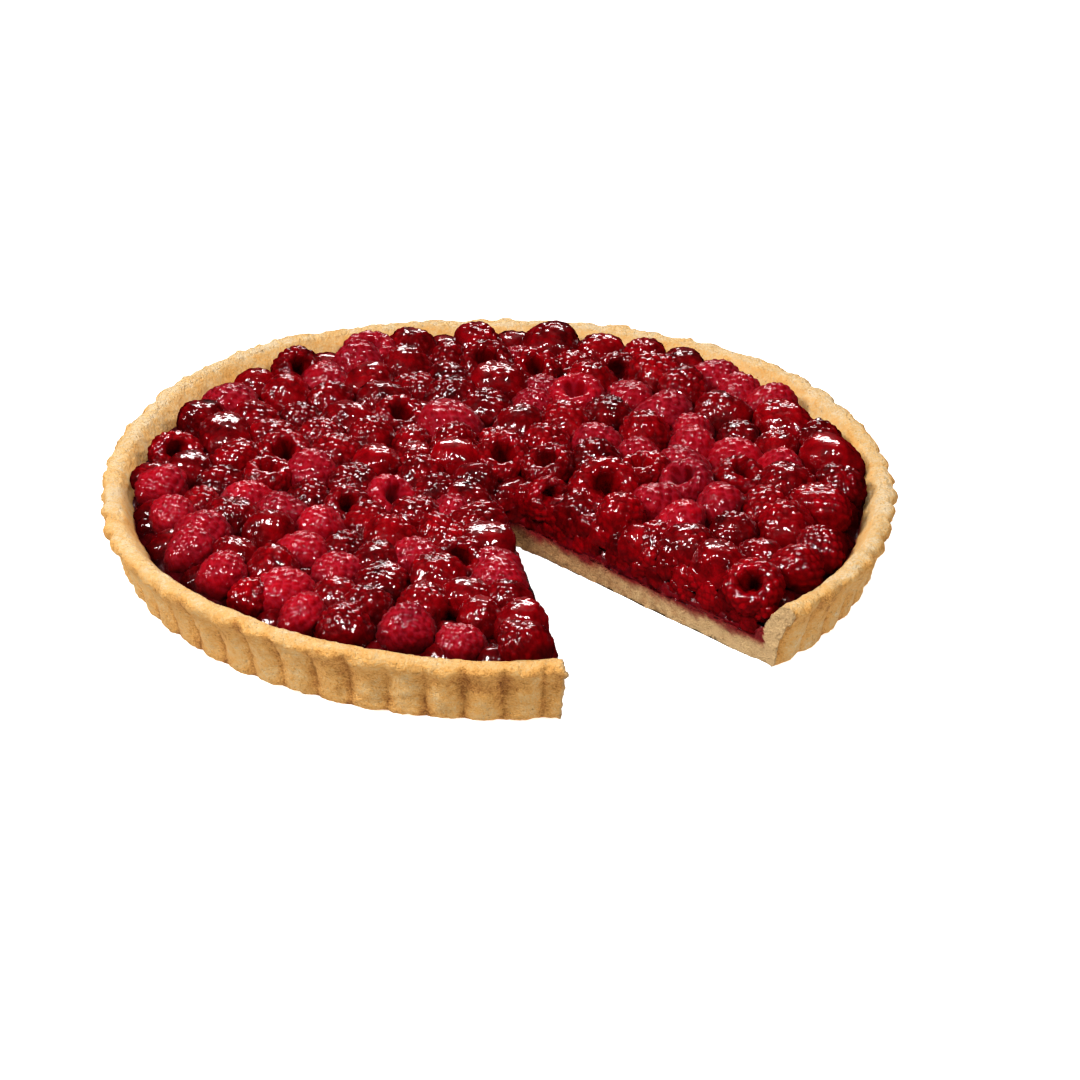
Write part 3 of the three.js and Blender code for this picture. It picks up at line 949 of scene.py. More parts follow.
in_gap = np.maximum(beside_start(seat), beside_end(seat)) < -CUT_BERRY_SHARE * radii
in_gap &= (along_start(seat) > 0) & is_loose
kept = np.flatnonzero(~in_gap)
print(len(kept), "berries lie on the tart")

# %% [markdown]
# ## Jam and jelly
# Jam is spread on the base, and jelly is poured over the fruit and sets round it. Both are
# layers that fill the case from wall to wall and show at the cut, so one function makes
# either: a loop in plan for each level, skinned up the side, and closed by fans. At the cut
# the loops waver, because wet jam never follows a knife exactly: at its foot it comes up to
# the pastry's edge, and higher up it hangs back behind the fruit.

# %% Layers that fill the case
INTO_WALL = 1.2
WAVER = 0.9
WAVER_WIDTH = 4


def plan_loop(radius, round_steps, along_steps, tip_steps):
    """A closed loop in plan: round inside the wall, in along one cut and out along the other."""
    path = cut_path(radius, along_steps, tip_steps)
    angle = np.linspace(*rim_angles(radius), round_steps + 1)
    ring = radius * np.stack([np.cos(angle), np.sin(angle)], axis=-1)
    loop = np.concatenate([ring[:-1], path[:-1]])
    return loop, np.arange(len(loop)) > round_steps


def wall_radius(height):
    """Where the inside of the wall stands at a height."""
    return np.interp(height, inner_line[:, 1], inner_line[:, 0])


def layer(levels, bulges, top_rings, steps, hang_back):
    """Points and faces of a layer, which may hang back from the first cut like the fruit."""
    loops = []
    for level, bulge in zip(levels, bulges):
        loop, at_cut = plan_loop(wall_radius(level) + INTO_WALL, *steps)
        _, outward = gap_depth(loop)
        waver = 1 + WAVER * lumps(at_height(loop, level), WAVER_WIDTH, 5)
        inset = hang_back * nearer_start(loop) * start_inset(loop)
        loop = loop + (at_cut * (inset - bulge * waver))[:, None] * outward
        loops.append(at_height(loop, level))
    side = np.array(loops)
    bottom = fan(side[0], 1, levels[0])
    top = fan(side[-1], top_rings, levels[-1])
    return join_patches([(bottom, True), (side, True), (top[::-1], True)])


wall_foot = float(wall_radius(BASE_THICKNESS))
print("the inside of the wall stands", round(wall_foot, 1), "mm out at its foot")

# %% [markdown]
# ## The spread jam
# Spooned jam is never level. Its points are moved by noise at two sizes, which shows as wet
# lumps at the cut, and the whole layer swells and sinks a little in slow humps.

# %% Spread jam
JAM_LEVELS = [7.6, 8.2, 8.9, 9.8, 10.8, 11.8, 12.7, 13.2]
JAM_BULGES = [-0.3, 0.1, 0.1, -0.1, -0.5, -1.1, -1.7, -2.0]
JAM_TOP_RINGS = 1
# Steps round the wall, along each cut and round the tip.
JAM_STEPS = (420, 120, 14)
JAM_LUMP, JAM_LUMP_SIZE = 0.35, 5
JAM_GRAIN, JAM_GRAIN_SIZE = 0.12, 1.9
JAM_HUMP, JAM_HUMP_SIZE = 0.5, 8

jam_points, jam_faces = layer(JAM_LEVELS, JAM_BULGES, JAM_TOP_RINGS, JAM_STEPS, hang_back=False)
jam_lumps = JAM_LUMP * ruffle(jam_points, JAM_LUMP_SIZE, 40)
jam_points = jam_points + jam_lumps + JAM_GRAIN * ruffle(jam_points, JAM_GRAIN_SIZE, 43)
jam_points[:, 2] = jam_points[:, 2] + JAM_HUMP * lumps(jam_points, JAM_HUMP_SIZE, 47)
jam_spread = new_piece("jam_spread", jam_points, jam_faces, {})
face_outwards(jam_spread)

# %% [markdown]
# ## Jelly between the berries
# The set jelly is a shallow pool whose skin climbs every berry a little, as water does in a
# glass. Its height at a point is the level of the pool plus a rise that dies away with the
# distance to the nearest berry and to the wall. Where it shows, it is the darkest thing on
# the tart, because its colour is painted shade for the gaps between the berries.

# %% Jelly bed
JELLY_LEVEL = 16.4
JELLY_STEPS = (260, 70, 8)
JELLY_TOP_RINGS = 38
JELLY_CLIMB = 2.6
JELLY_CREEP = 0.6
JELLY_REACH = 1.5
SKIN_AT_WALL = 17.0
BERRY_SIDE = 0.86
WALL_DIP = 1.8
# Spans of distance from the wall: of its dip, and of where the climb at a berry may start.
DIP_WIDTH = (0, 9)
CLIMB_OFF_WALL = (-1, 2.5)
JELLY_LEVELS = [13.0, 13.8, 14.7, 15.6, JELLY_LEVEL]
JELLY_BULGES = [-2.0, -2.2, -2.4, -2.4, -2.5]


def jelly_height(place):
    """Height of the jelly's skin at plan points."""
    off_berry = np.full(len(place), 1e9)
    for (x, y), radius in zip(seat[kept], radii[kept]):
        off_middle = np.hypot(place[:, 0] - x, place[:, 1] - y)
        off_berry = np.minimum(off_berry, off_middle - BERRY_SIDE * radius)
    off_wall = wall_radius(SKIN_AT_WALL) - np.hypot(place[:, 0], place[:, 1])
    flat = at_height(place, 0)
    pool = JELLY_LEVEL + 0.6 * lumps(flat, 15, 51) + 0.25 * lumps(flat, 4, 52)
    pool = pool - WALL_DIP * (1 - rise_between(off_wall, *DIP_WIDTH))
    climb = JELLY_CLIMB * np.exp(-np.maximum(0, off_berry) / JELLY_REACH)
    creep = JELLY_CREEP * np.exp(-np.maximum(0, off_wall) / JELLY_REACH)
    return pool + climb * rise_between(off_wall, *CLIMB_OFF_WALL) + creep


jelly_points, jelly_faces = layer(
    JELLY_LEVELS, JELLY_BULGES, JELLY_TOP_RINGS, JELLY_STEPS, hang_back=True
)
on_top = np.abs(jelly_points[:, 2] - JELLY_LEVEL) < 1e-6
jelly_points = jelly_points + 0.2 * ruffle(jelly_points, 3, 55)
jelly_points[on_top, 2] = jelly_height(jelly_points[on_top, :2])
jelly_bed = new_piece("jelly_bed", jelly_points, jelly_faces, {})
face_outwards(jelly_bed)

# %% [markdown]
# ## The form of a raspberry
# A raspberry is a hollow cap of about a hundred drupelets, each a little drop of its own. The
# body is a rounded egg, a little flatter at the open end. The drupelets are laid out on it
# by the golden angle, like seeds on a sunflower, and each point of the skin is raised by
# how near it is to its own drupelet. Modelling that relief in the mesh, and not as bump,
# makes the outline knobbly too. Glaze fills the valleys, so a glazed berry is smoother.

# %% Berry body
DRUPELET_AREA = 8.8
MOST_DRUPELETS = 124
MOST_CUP_DRUPELETS = 170
BERRY_LENGTH_LEAST = 9.5
BERRY_LENGTH_PER_RADIUS = 0.95
TIP_ROUNDNESS = 2.0
OPEN_END_ROUNDNESS = 2.9
DRUPELET_WANDER = 0.38
CROWN_WIDTH = 0.66
VALLEY_WIDTHS = (0.02, 0.36)
ANY_TURN = (0, 6.28)
SLANT = [0.31, 0.87, 0.38]


def unit(vectors):
    """The same directions, one long."""
    return vectors / (np.linalg.norm(vectors, axis=-1, keepdims=True) + 1e-12)


def body_reach(directions, radius, length):
    """How far the smooth body of a berry reaches from its middle, tip along +Z."""
    across = np.hypot(directions[:, 0], directions[:, 1]) / radius
    along = np.abs(directions[:, 2]) / (0.5 * length)
    power = np.where(directions[:, 2] > 0, TIP_ROUNDNESS, OPEN_END_ROUNDNESS)
    return (across**power + along**power) ** (-1 / power)


def drupelet_directions(count, rng):
    """Directions from a berry's middle to its drupelets, unevenly sized like real ones."""
    step = np.arange(count)
    height = 1 - (2 * step + 1) / count
    angle = step * math.pi * GOLDEN_TURN + rng.uniform(*ANY_TURN)
    flat = np.sqrt(1 - height**2)
    wander = rng.normal(0, DRUPELET_WANDER / math.sqrt(count), (count, 3))
    return unit(np.column_stack([flat * np.cos(angle), flat * np.sin(angle), height]) + wander)


def drupelet_relief(points, centres, pitch):
    """Raise from 0 in the valleys to 1 on the crowns, and how much of a valley a point is."""
    gaps = np.linalg.norm(points[:, None] - centres[None], axis=2)
    nearest, second = np.partition(gaps, 1, axis=1)[:, :2].T
    crown = np.sqrt(np.clip(1 - (nearest / (CROWN_WIDTH * pitch)) ** 2, 0, 1))
    valley = 1 - rise_between((second - nearest) / pitch, *VALLEY_WIDTHS)
    return crown, valley


def berry_axis(pose, lean, heading):
    """Unit vector from the open end to the tip."""
    tilt = (180 - lean if pose == "cup" else lean) * DEGREE
    towards = (heading + (180 if pose == "cup" else 0)) * DEGREE
    level = math.sin(tilt)
    return np.array([level * math.cos(towards), level * math.sin(towards), math.cos(tilt)])


def berry_turn(axis, spin):
    """Columns that turn a berry's own directions into the tart's."""
    side = unit(np.cross(axis, SLANT))
    other = np.cross(axis, side)
    first = side * math.cos(spin) + other * math.sin(spin)
    return np.column_stack([first, np.cross(axis, first), axis])


usual_length = BERRY_LENGTH_LEAST + BERRY_LENGTH_PER_RADIUS * 9
print("a berry 18 mm wide is", round(usual_length, 1), "mm long")

# %% [markdown]
# ## Two nets of points
# A berry whose hollow is hidden can be a ball of points pushed out to the body. A cube
# blown up into a ball gives an even net without a pinched pole, and squeezing it upwards
# spends the points where they are seen. A berry that shows its hollow needs a net that
# turns over the lip and goes down inside, so its outline is swept round its axis.

# %% Ball net and cup net
BALL_CELLS = 17
CRUSHED_CELLS = 11
TUCKED_CELLS = 8
BALL_SQUEEZE = 0.42
TUCKED_SQUEEZE = 0.6
WELDED_AT = 10
CUP_COLUMNS = 80
CUP_STEPS = 34
CUP_LINE_POINTS = 400
# The cup's steps are wide at its hidden tip, and closest along its sides and lip.
STEP_SHARES = [0, 0.1, 0.8, 1]
OUTLINE_SHARES = [0, 0.25, 0.8, 1]
HOLLOW_STARTS = (0.62, 0.74)
CUP_OUTLINE = [
    (0.0, -0.5),
    (0.42, -0.44),
    (0.78, -0.24),
    (0.99, 0.06),
    (0.98, 0.28),
    (0.84, 0.43),
    (0.62, 0.49),
    (0.42, 0.45),
    (0.32, 0.33),
    (0.26, 0.14),
    (0.17, -0.06),
    (0.0, -0.14),
]


def ball_net(cells, squeeze):
    """Directions of an even net over a ball, gathered upwards, and its faces."""
    ticks = np.tan(np.linspace(-1, 1, cells + 1) * math.pi / 4)
    across, down = np.meshgrid(ticks, ticks, indexing="ij")
    sides = []
    for axis, sign in itertools.product(range(3), (1, -1)):
        first, second = (across, down) if sign > 0 else (down, across)
        parts = [first, second]
        parts.insert(axis, np.full_like(first, sign))
        if axis == 1:
            parts = [parts[2], parts[1], parts[0]]
        sides.append((unit(np.stack(parts, axis=-1)) * WELDED_AT, False))
    points, faces = join_patches(sides)
    points = unit(points)
    polar = np.arccos(np.clip(points[:, 2], -1, 1))
    gathered = polar - squeeze * np.sin(polar)
    flat = unit(points[:, :2] + 1e-12)
    corners = points[faces]
    across_face = np.cross(corners[:, 2] - corners[:, 0], corners[:, 3] - corners[:, 1])
    inwards = (across_face * corners.sum(axis=1)).sum(axis=1) < 0
    faces[inwards] = faces[inwards, ::-1]
    return np.column_stack([flat * np.sin(gathered)[:, None], np.cos(gathered)]), faces


def cup_net():
    """Share-of-radius and share-of-length points of the cup, with outward directions."""
    line = smooth_line(CUP_OUTLINE, CUP_LINE_POINTS)
    share = np.interp(np.linspace(0, 1, CUP_STEPS), STEP_SHARES, OUTLINE_SHARES)
    line = line[np.round(share * (CUP_LINE_POINTS - 1)).astype(int)]
    line[:, 0] = np.maximum(line[:, 0], 0)
    along = np.gradient(line, axis=0)
    outward = unit(np.column_stack([along[:, 1], -along[:, 0]]))
    angle = np.arange(CUP_COLUMNS) * 2 * math.pi / CUP_COLUMNS
    return line, outward, angle, grid_faces(CUP_STEPS, CUP_COLUMNS, closed=True)


ball_directions, ball_faces = ball_net(BALL_CELLS, BALL_SQUEEZE)
crushed_net = ball_net(CRUSHED_CELLS, 0)
tucked_net = ball_net(TUCKED_CELLS, TUCKED_SQUEEZE)
cup_line, cup_outward, cup_angle, cup_faces = cup_net()
cup_walked = np.arange(CUP_STEPS) / CUP_STEPS
cup_inside = np.repeat(rise_between(cup_walked, *HOLLOW_STARTS), CUP_COLUMNS)
print("ball net:", len(ball_faces), "faces; cup net:", len(cup_faces), "faces")

# %% [markdown]
# ## Beads and jelly
# Now every berry is grown on its own seat, so no two are alike. Each gets its own drupelets,
# and its body is stretched and dented a little. The jelly fills its valleys in patches. The
# height of a bead is a soft choice between the drupelet and the jelly's level, so that
# beads stand out of the jelly with a rounded edge and not with a crease.

# %% Grow one berry
RELIEF = 1.7
SOFT_EDGE = 0.035
DENTS = 0.15
DENT_WIDTH = 8
BALL_OF_NOISE = 9
SQUASH = 0.13
NOISE_SPREAD = 900
FILM_WIDTH = 6
MOST_FILM = 0.9
BARE_VALLEY = 0.55
FILM_LIFT = 0.45
MEAN_BEAD = 0.86
BEAD_JITTER = 0.35
ANGLE_JITTER = 0.08
CUP_FILM_SHARE = 0.35
CUP_RELIEF = 1.15
CUP_BEADED = 0.74
BEADS_SHRINK = (0.5, 0.66)
BEADS_END = (CUP_BEADED, CUP_BEADED + 0.08)


def misshape(directions, rng):
    """Stretches a berry a little in three directions, and dents it."""
    stretch = 1 + rng.uniform(-SQUASH, SQUASH, 3)
    place = directions * BALL_OF_NOISE + rng.uniform(0, NOISE_SPREAD, 3)
    dents = 1 + DENTS * lumps(place, DENT_WIDTH, 61)
    return stretch * dents[:, None]


def glaze_film(smooth, glaze, rng):
    """How much of the valleys the jelly fills, from 0 to 1, in patches."""
    patches = lumps(smooth + rng.uniform(0, NOISE_SPREAD, 3), FILM_WIDTH, 62)
    return np.clip(glaze + 0.5 * patches, 0, MOST_FILM)


def bead_height(crown, film):
    """Beads that stand out of the jelly, which has filled the valleys up to its own level."""
    level = BARE_VALLEY + FILM_LIFT * film
    return RELIEF * (SOFT_EDGE * np.logaddexp(crown / SOFT_EDGE, level / SOFT_EDGE) - MEAN_BEAD)


def grow_ball(directions, radius, length, turn, rng, glaze):
    """A berry whose hollow is hidden: points, bare valleys, film and height of the beads."""
    directions = directions @ turn
    smooth = directions * body_reach(directions, radius, length)[:, None]
    count = min(MOST_DRUPELETS, round(4 * math.pi * radius * radius / DRUPELET_AREA))
    centres = drupelet_directions(count, rng)
    centres = centres * body_reach(centres, radius, length)[:, None]
    pitch = math.sqrt(4 * math.pi * radius * radius / count)
    crown, valley = drupelet_relief(smooth, centres, pitch)
    film = glaze_film(smooth, glaze, rng)
    raised = bead_height(crown, film)
    local = smooth * misshape(directions, rng) + directions * raised[:, None]
    return local, valley * (1 - film), film, raised


def swept_cup(shares):
    """Turns two numbers for each step of the cup's outline into points all round."""
    ring = np.stack([np.cos(cup_angle), np.sin(cup_angle)], axis=-1)
    level = np.repeat(shares[:, 1:], CUP_COLUMNS, axis=1)[..., None]
    return np.concatenate([shares[:, None, :1] * ring, level], axis=2).reshape(-1, 3)


def cup_beads(line, rng):
    """Bead centres spread evenly over the cup's outside and over its lip."""
    outside = line[: round(CUP_BEADED * CUP_STEPS)]
    strip = np.linalg.norm(np.diff(outside, axis=0), axis=1) * (outside[1:, 0] + outside[:-1, 0])
    area = np.concatenate([[0], np.cumsum(strip)])
    count = min(MOST_CUP_DRUPELETS, round(math.pi * area[-1] / DRUPELET_AREA))
    jitter = rng.uniform(-BEAD_JITTER, BEAD_JITTER, count)
    at = (np.arange(count) + 0.5 + jitter) / count * area[-1]
    radius, level = (np.interp(at, area, outside[:, axis]) for axis in range(2))
    angle = np.arange(count) * math.pi * GOLDEN_TURN
    angle = angle + rng.uniform(-ANGLE_JITTER, ANGLE_JITTER, count)
    pitch = math.sqrt(math.pi * area[-1] / count)
    return np.column_stack([radius * np.cos(angle), radius * np.sin(angle), level]), pitch


def grow_cup(radius, length, rng, glaze):
    """A berry that shows its hollow, with the same four results."""
    line = cup_line * [radius, length]
    smooth = swept_cup(line)
    outward = swept_cup(cup_outward)
    centres, pitch = cup_beads(line, rng)
    crown, valley = drupelet_relief(smooth, centres, pitch)
    film = CUP_FILM_SHARE * glaze_film(smooth, glaze, rng)
    bead_share = 1 - 0.5 * rise_between(cup_walked, *BEADS_SHRINK)
    bead_share = bead_share - 0.5 * rise_between(cup_walked, *BEADS_END)
    raised = CUP_RELIEF * bead_height(crown, film) * np.repeat(bead_share, CUP_COLUMNS)
    local = smooth * (0.5 + 0.5 * misshape(unit(smooth), rng)) + outward * raised[:, None]
    return local * [1, -1, -1], valley * (1 - film), film, raised


bead = float(bead_height(1, 0) - bead_height(0, 0))
print("a fresh drupelet stands", round(bead, 2), "mm over its valley")

# %% [markdown]
# ## Fitting a berry in
# Soft fruit takes the shape of what it leans on, so each berry is fitted in after it has
# grown: its bottom sits flat on the jam, the wall stops it, and no berry stands much higher
# than its neighbours. The knife has sliced the loose ones that stood across the second cut.
# A sliced berry is pushed back to the cut unevenly, because soft fruit tears.

# %% Fit a berry in
BERRY_FLOOR = 13.6
TOP_LIMIT = 33.9
TOP_GIVE = 1.8
FLAT_TOP_DEPTHS = (0.8, 2.0)
WALL_TOP = 22
OFF_WALL = 0.15
PRESSED_PAST = 0.2
BRUISED_DEPTHS = (1.5, 6.0)
SLICED_SHARE = 0.8
PLUMPNESS = 1.05
WALL_CLEAR = 122.3
WALL_CLEAR_RIGHT = 1.8
WALL_CLEAR_FRONT = 2.8
START_ROOM = 1.05
LOOSE_ROOM = 0.88
PLACED_ROOM = 0.7


def settle_film(points, film, rng):
    """Jelly lies flat on top of some berries, so their tops are pressed down a little."""
    top = points[:, 2].max()
    level = top - rng.uniform(*FLAT_TOP_DEPTHS)
    over = np.maximum(0, points[:, 2] - level)
    lowered = points.copy()
    lowered[:, 2] -= over * 0.5 * (0.4 + 0.6 * film)
    return lowered


def press_to_cut(points, centre, raised, share):
    """Presses what stands in the gap back to the cut, keeps its beads, and says how bruised."""
    depth, outward = gap_depth(centre[None])
    across = (points[:, :2] - centre) @ outward[0]
    beyond = np.maximum(0, depth[0] - across + PRESSED_PAST)
    facing = np.clip(-across / (np.linalg.norm(points[:, :2] - centre, axis=1) + 1), 0, 1) ** 2
    step = share * (beyond - np.maximum(0, raised) * facing * rise_between(beyond, 0, 1))
    points[:, :2] += step[:, None] * outward[0]
    return rise_between(beyond, *BRUISED_DEPTHS)


def fit_berry(points, centre, raised, can_be_cut):
    """Fits a berry into the tart, and says how much of each point is bruised by the knife."""
    points = points.copy()
    points[:, 2] = np.maximum(points[:, 2], BERRY_FLOOR)
    reach = np.hypot(points[:, 0], points[:, 1])
    above = np.maximum(0, points[:, 2] - (TOP_LIMIT - TOP_GIVE))
    points[:, 2] += TOP_GIVE * (1 - np.exp(-above / TOP_GIVE)) - above
    over_wall = np.maximum(0, points[:, 2] - WALL_TOP)
    limit = wall_radius(np.minimum(points[:, 2], WALL_TOP)) - OFF_WALL + over_wall
    points[:, :2] *= np.minimum(1, limit / reach)[:, None]
    if not can_be_cut:
        return points, np.zeros(len(points))
    return points, press_to_cut(points, centre, raised, SLICED_SHARE)


def set_back(place, radius, loose_one):
    """The plan step that keeps a berry off the wall and lets it stand whole beside the cuts."""
    distance = np.linalg.norm(place)
    wall = WALL_CLEAR + (WALL_CLEAR_RIGHT * place[0] - WALL_CLEAR_FRONT * place[1]) / distance
    step = -max(0, distance + PLUMPNESS * radius - wall) * place / distance
    depth, outward = gap_depth((place + step)[None])
    if nearer_start(place):
        return step + max(0, depth[0] + START_ROOM * radius + start_inset(place)) * outward[0]
    least = LOOSE_ROOM if loose_one else PLACED_ROOM
    return step + max(0, depth[0] + least * radius) * outward[0]


nudged = [np.linalg.norm(set_back(seat[i], radii[i], is_loose[i])) > 0.1 for i in kept]
print(sum(nudged), "berries are nudged clear of the wall or the cuts")

# %% [markdown]
# ## Where a berry rests
# A berry rests in the jam on a little less than half its height, which depends on how it
# lies. Near the wall it climbs a little, and towards the back the fruit lies lower. Loose
# berries at the second cut were dragged down by the knife.

# %% Height of a berry's middle
JAM_TOP = 13
BERRY_SINK = 1
REST_SHARE = 0.9
WALL_CLIMB = 0.2
BACK_DROP = 2.2
BACK_STARTS = (70, 105)
DRAGGED_DOWN = 4.5
USUAL_RADIUS = 9


def middle_height(place, radius, length, axis):
    """How high a berry's middle is over the table."""
    upright = abs(axis[2])
    half = upright * 0.5 * length + (1 - upright) * radius
    climb = max(0, math.hypot(*place) + radius - WALL_FOOT_RADIUS) * WALL_CLIMB
    return JAM_TOP - BERRY_SINK + REST_SHARE * half + climb


def dragged_down(into_gap, radius):
    """How far the knife took a loose berry down, by how deep its middle is in the gap."""
    return DRAGGED_DOWN * float(rise_between(into_gap, -HALF * radius, 0))


usual_height = middle_height((0, 0), USUAL_RADIUS, usual_length, berry_axis("dome", 0, 0))
print("the middle of a standing berry is", round(usual_height, 1), "mm over the table")

# %% [markdown]
# ## Fresh and glazed
# The cook brushed hot jelly over the fruit unevenly. Some berries kept their dusty bloom
# and show every drupelet in a paler net. Most are coated, darker and smooth like lacquer.
# Of the loose berries that were laid hollow side up, every other one has tipped over since.
# They are kept in separate meshes by how they look and lie, so that each can have its own
# finish and stays easy to handle.

# %% Grow the berries on their seats
FRESH_SEATS = {
    (-17, 42), (-89, -71), (-68, -82), (-27, -108), (62, 14), (-107, -29), (-51, -67), (-95, 57),
    (-50, 91), (60, -29), (-103, -54), (-113, -7), (75, 84),
}
BRIGHT_SEATS = {(35, -6), (14, -5), (1, 16), (-112, 18), (-72, 17), (12, 90), (84, -72)}
BRIGHT_TONE = 0.9
LOOSE_FRESH_SHARE = 0.26
FRESH_GLAZE = (0.0, 0.1)
FULL_GLAZE = (0.0, 0.6)
CUP_GLAZE_SHARE = 0.4
FLAT_GLAZE = 0.48
CLOSED_LEAN = 30
LESS_PAINTED_SHADE_INSIDE = 0.75
TOP_SPARE = 0.3
# Heights, and distances from the cut, over which the painted shade on the berries fades.
PAINTED_SHADE_HEIGHTS = (15.5, 26.5)
PAINTED_SHADE_OFF_CUT = (1.5, 6)
PLACE_SPREAD = 400
SEAT_SEED = 7000
KINDS = {"dome": "standing", "side": "lying", "cup": "open"}


def berry_numbers(local, points, valley, flesh, rng):
    """What the skin reads: painted shade low down, own place, bare valleys, bruises and a tone,
    which for tucked berries holds painted shade.
    """
    # Painted shade: points low on the tart and the lower part of each berry are marked darker,
    # except near the cut.
    top, bottom = points[:, 2].max(), points[:, 2].min()
    below = 1 - rise_between(points[:, 2], top - 0.85 * (top - bottom), top - 0.2 * (top - bottom))
    deep = 1 - rise_between(points[:, 2], *PAINTED_SHADE_HEIGHTS)
    off_cut = rise_between(-gap_depth(points[:, :2])[0], *PAINTED_SHADE_OFF_CUT)
    return {
        "juice": np.maximum(deep, 0.75 * below) * off_cut,
        "berry_place": local + rng.uniform(-PLACE_SPREAD, PLACE_SPREAD, 3),
        "valley": valley,
        "flesh": flesh,
        "tone": np.full(len(local), rng.random()),
    }


crops = {}
for index in kept:
    _, _, width, pose, lean, heading, rise = berries[index]
    chosen_seat = None if is_loose[index] else tuple(berries[index][:2])
    if pose == "cup" and is_loose[index] and index % 2:
        pose, lean = "dome", lean + CLOSED_LEAN
    rng = np.random.default_rng(SEAT_SEED + int(index))
    fresh = rng.random() < LOOSE_FRESH_SHARE
    if chosen_seat:
        fresh = chosen_seat in FRESH_SEATS
    glaze = rng.uniform(*(FRESH_GLAZE if fresh else FULL_GLAZE))
    radius = width / 2
    length = BERRY_LENGTH_LEAST + BERRY_LENGTH_PER_RADIUS * radius
    axis = berry_axis(pose, lean, heading)
    turn = berry_turn(axis, rng.uniform(*ANY_TURN))
    x, y = seat[index]
    lower = BACK_DROP * float(rise_between(y, *BACK_STARTS))
    middle = np.array([x, y, middle_height((x, y), radius, length, axis) + rise - lower])
    into_gap = float(gap_depth(seat[index][None])[0][0])
    by_cut = is_loose[index] and into_gap > -radius
    if by_cut:
        middle[2] -= dragged_down(into_gap, radius)
    shift = set_back(seat[index], radius, is_loose[index])
    plump = PLUMPNESS * radius
    if pose == "cup" and not by_cut:
        local, valley, film, raised = grow_cup(plump, length, rng, CUP_GLAZE_SHARE * glaze)
        faces = cup_faces
    else:
        local, valley, film, raised = grow_ball(ball_directions, plump, length, turn, rng, glaze)
        faces = ball_faces
    points = local @ turn.T + middle + [*shift, 0]
    points[:, 2] -= max(0, points[:, 2].max() - TOP_LIMIT + TOP_SPARE)
    if glaze > FLAT_GLAZE and pose != "cup":
        points = settle_film(points, film, rng)
    points, flesh = fit_berry(points, seat[index] + shift, raised, is_loose[index])
    own = berry_numbers(local, points, valley, flesh, rng)
    if chosen_seat in BRIGHT_SEATS:
        own["tone"] = np.maximum(own["tone"], BRIGHT_TONE)
    # A hollow gets less painted shade inside.
    if faces is cup_faces:
        own["juice"] = own["juice"] * (1 - LESS_PAINTED_SHADE_INSIDE * cup_inside)
    crops.setdefault((KINDS[pose], "fresh" if fresh else "glazed"), []).append((points, faces, own))
print({" ".join(key): len(grown) for key, grown in sorted(crops.items())})

# %% [markdown]
# ## Berries tucked between
# Looking between the berries on top, one sees the shoulders of others underneath. They are
# found by asking, again and again, where the widest open spot is left, and putting a low
# berry there, higher in a wide spot than in a narrow one. Most show only their tops, so a
# coarser net is enough.

# %% Tuck berries in between
TUCKED_BERRIES = 140
TUCKED_LEAST_ROOM = 0.9
TUCKED_TOP = (17.6, 20.4)
TUCKED_RISE = 1.5
RISES_OVER_ROOM = 1.5
MOST_RISING = 3
TUCKED_LENGTH = 1.8
TUCKED_GLAZE = (0.1, 0.5)
TUCKED_REACH = 123
TUCKED_OVERLAP = (3.5, 5.0)
WIDE_ROOM = 2.5
SPOTS_FROM, SPOTS_TO, SPOT_STEP = -122, 122.1, 1.6
SPOT_REACH = 120.5
SPOT_OFF_CUT = 2.5
NEIGHBOUR_SHARE = 0.97
TUCKED_SEED = 9000
TUCKED_DRAWS_SEED = 91

ticks = np.arange(SPOTS_FROM, SPOTS_TO, SPOT_STEP)
spots = np.stack(np.meshgrid(ticks, ticks, indexing="ij"), axis=-1).reshape(-1, 2)
on_tart = np.hypot(spots[:, 0], spots[:, 1]) < SPOT_REACH
spots = spots[on_tart & (gap_depth(spots)[0] < -SPOT_OFF_CUT)]
room = TUCKED_REACH - np.hypot(spots[:, 0], spots[:, 1])
for (x, y), radius in zip(seat[kept], radii[kept]):
    off_middle = np.hypot(spots[:, 0] - x, spots[:, 1] - y)
    room = np.minimum(room, off_middle - NEIGHBOUR_SHARE * radius)
tucked_rng = np.random.default_rng(TUCKED_DRAWS_SEED)
tucked_count = 0
while tucked_count < TUCKED_BERRIES and room.max() > TUCKED_LEAST_ROOM:
    best = int(np.argmax(room))
    open_room = float(room[best])
    spot, radius = spots[best].copy(), open_room + tucked_rng.uniform(*TUCKED_OVERLAP)
    room = np.minimum(room, np.hypot(*(spots - spot).T) - HALF * radius)
    rng = np.random.default_rng(TUCKED_SEED + tucked_count)
    axis = berry_axis("dome", rng.uniform(0, 90), rng.uniform(0, 360))
    turn = berry_turn(axis, rng.uniform(*ANY_TURN))
    glaze = rng.uniform(*TUCKED_GLAZE)
    directions, faces = crushed_net if open_room > WIDE_ROOM else tucked_net
    long = TUCKED_LENGTH * radius
    local, valley, _, raised = grow_ball(directions, radius, long, turn, rng, glaze)
    points = local @ turn.T
    rising = min(MOST_RISING, max(0, open_room - RISES_OVER_ROOM))
    top = tucked_rng.uniform(*TUCKED_TOP) + TUCKED_RISE * rising
    spot = spot * min(1, (TUCKED_REACH - 1 - 0.85 * radius) / (np.hypot(*spot) + 1e-9))
    points = points + [spot[0], spot[1], top - points[:, 2].max()]
    points, flesh = fit_berry(points, spot, raised, True)
    own = berry_numbers(local, points, valley, flesh, rng)
    # A berry in a narrow spot would get less light, so its tone is lowered: painted shade.
    own["tone"] = 0.5 * own["tone"] - 0.6 + 0.25 * min(open_room, 4)
    crops.setdefault(("tucked", "glazed"), []).append((points, faces, own))
    tucked_count += 1
print(tucked_count, "berries are tucked in between")

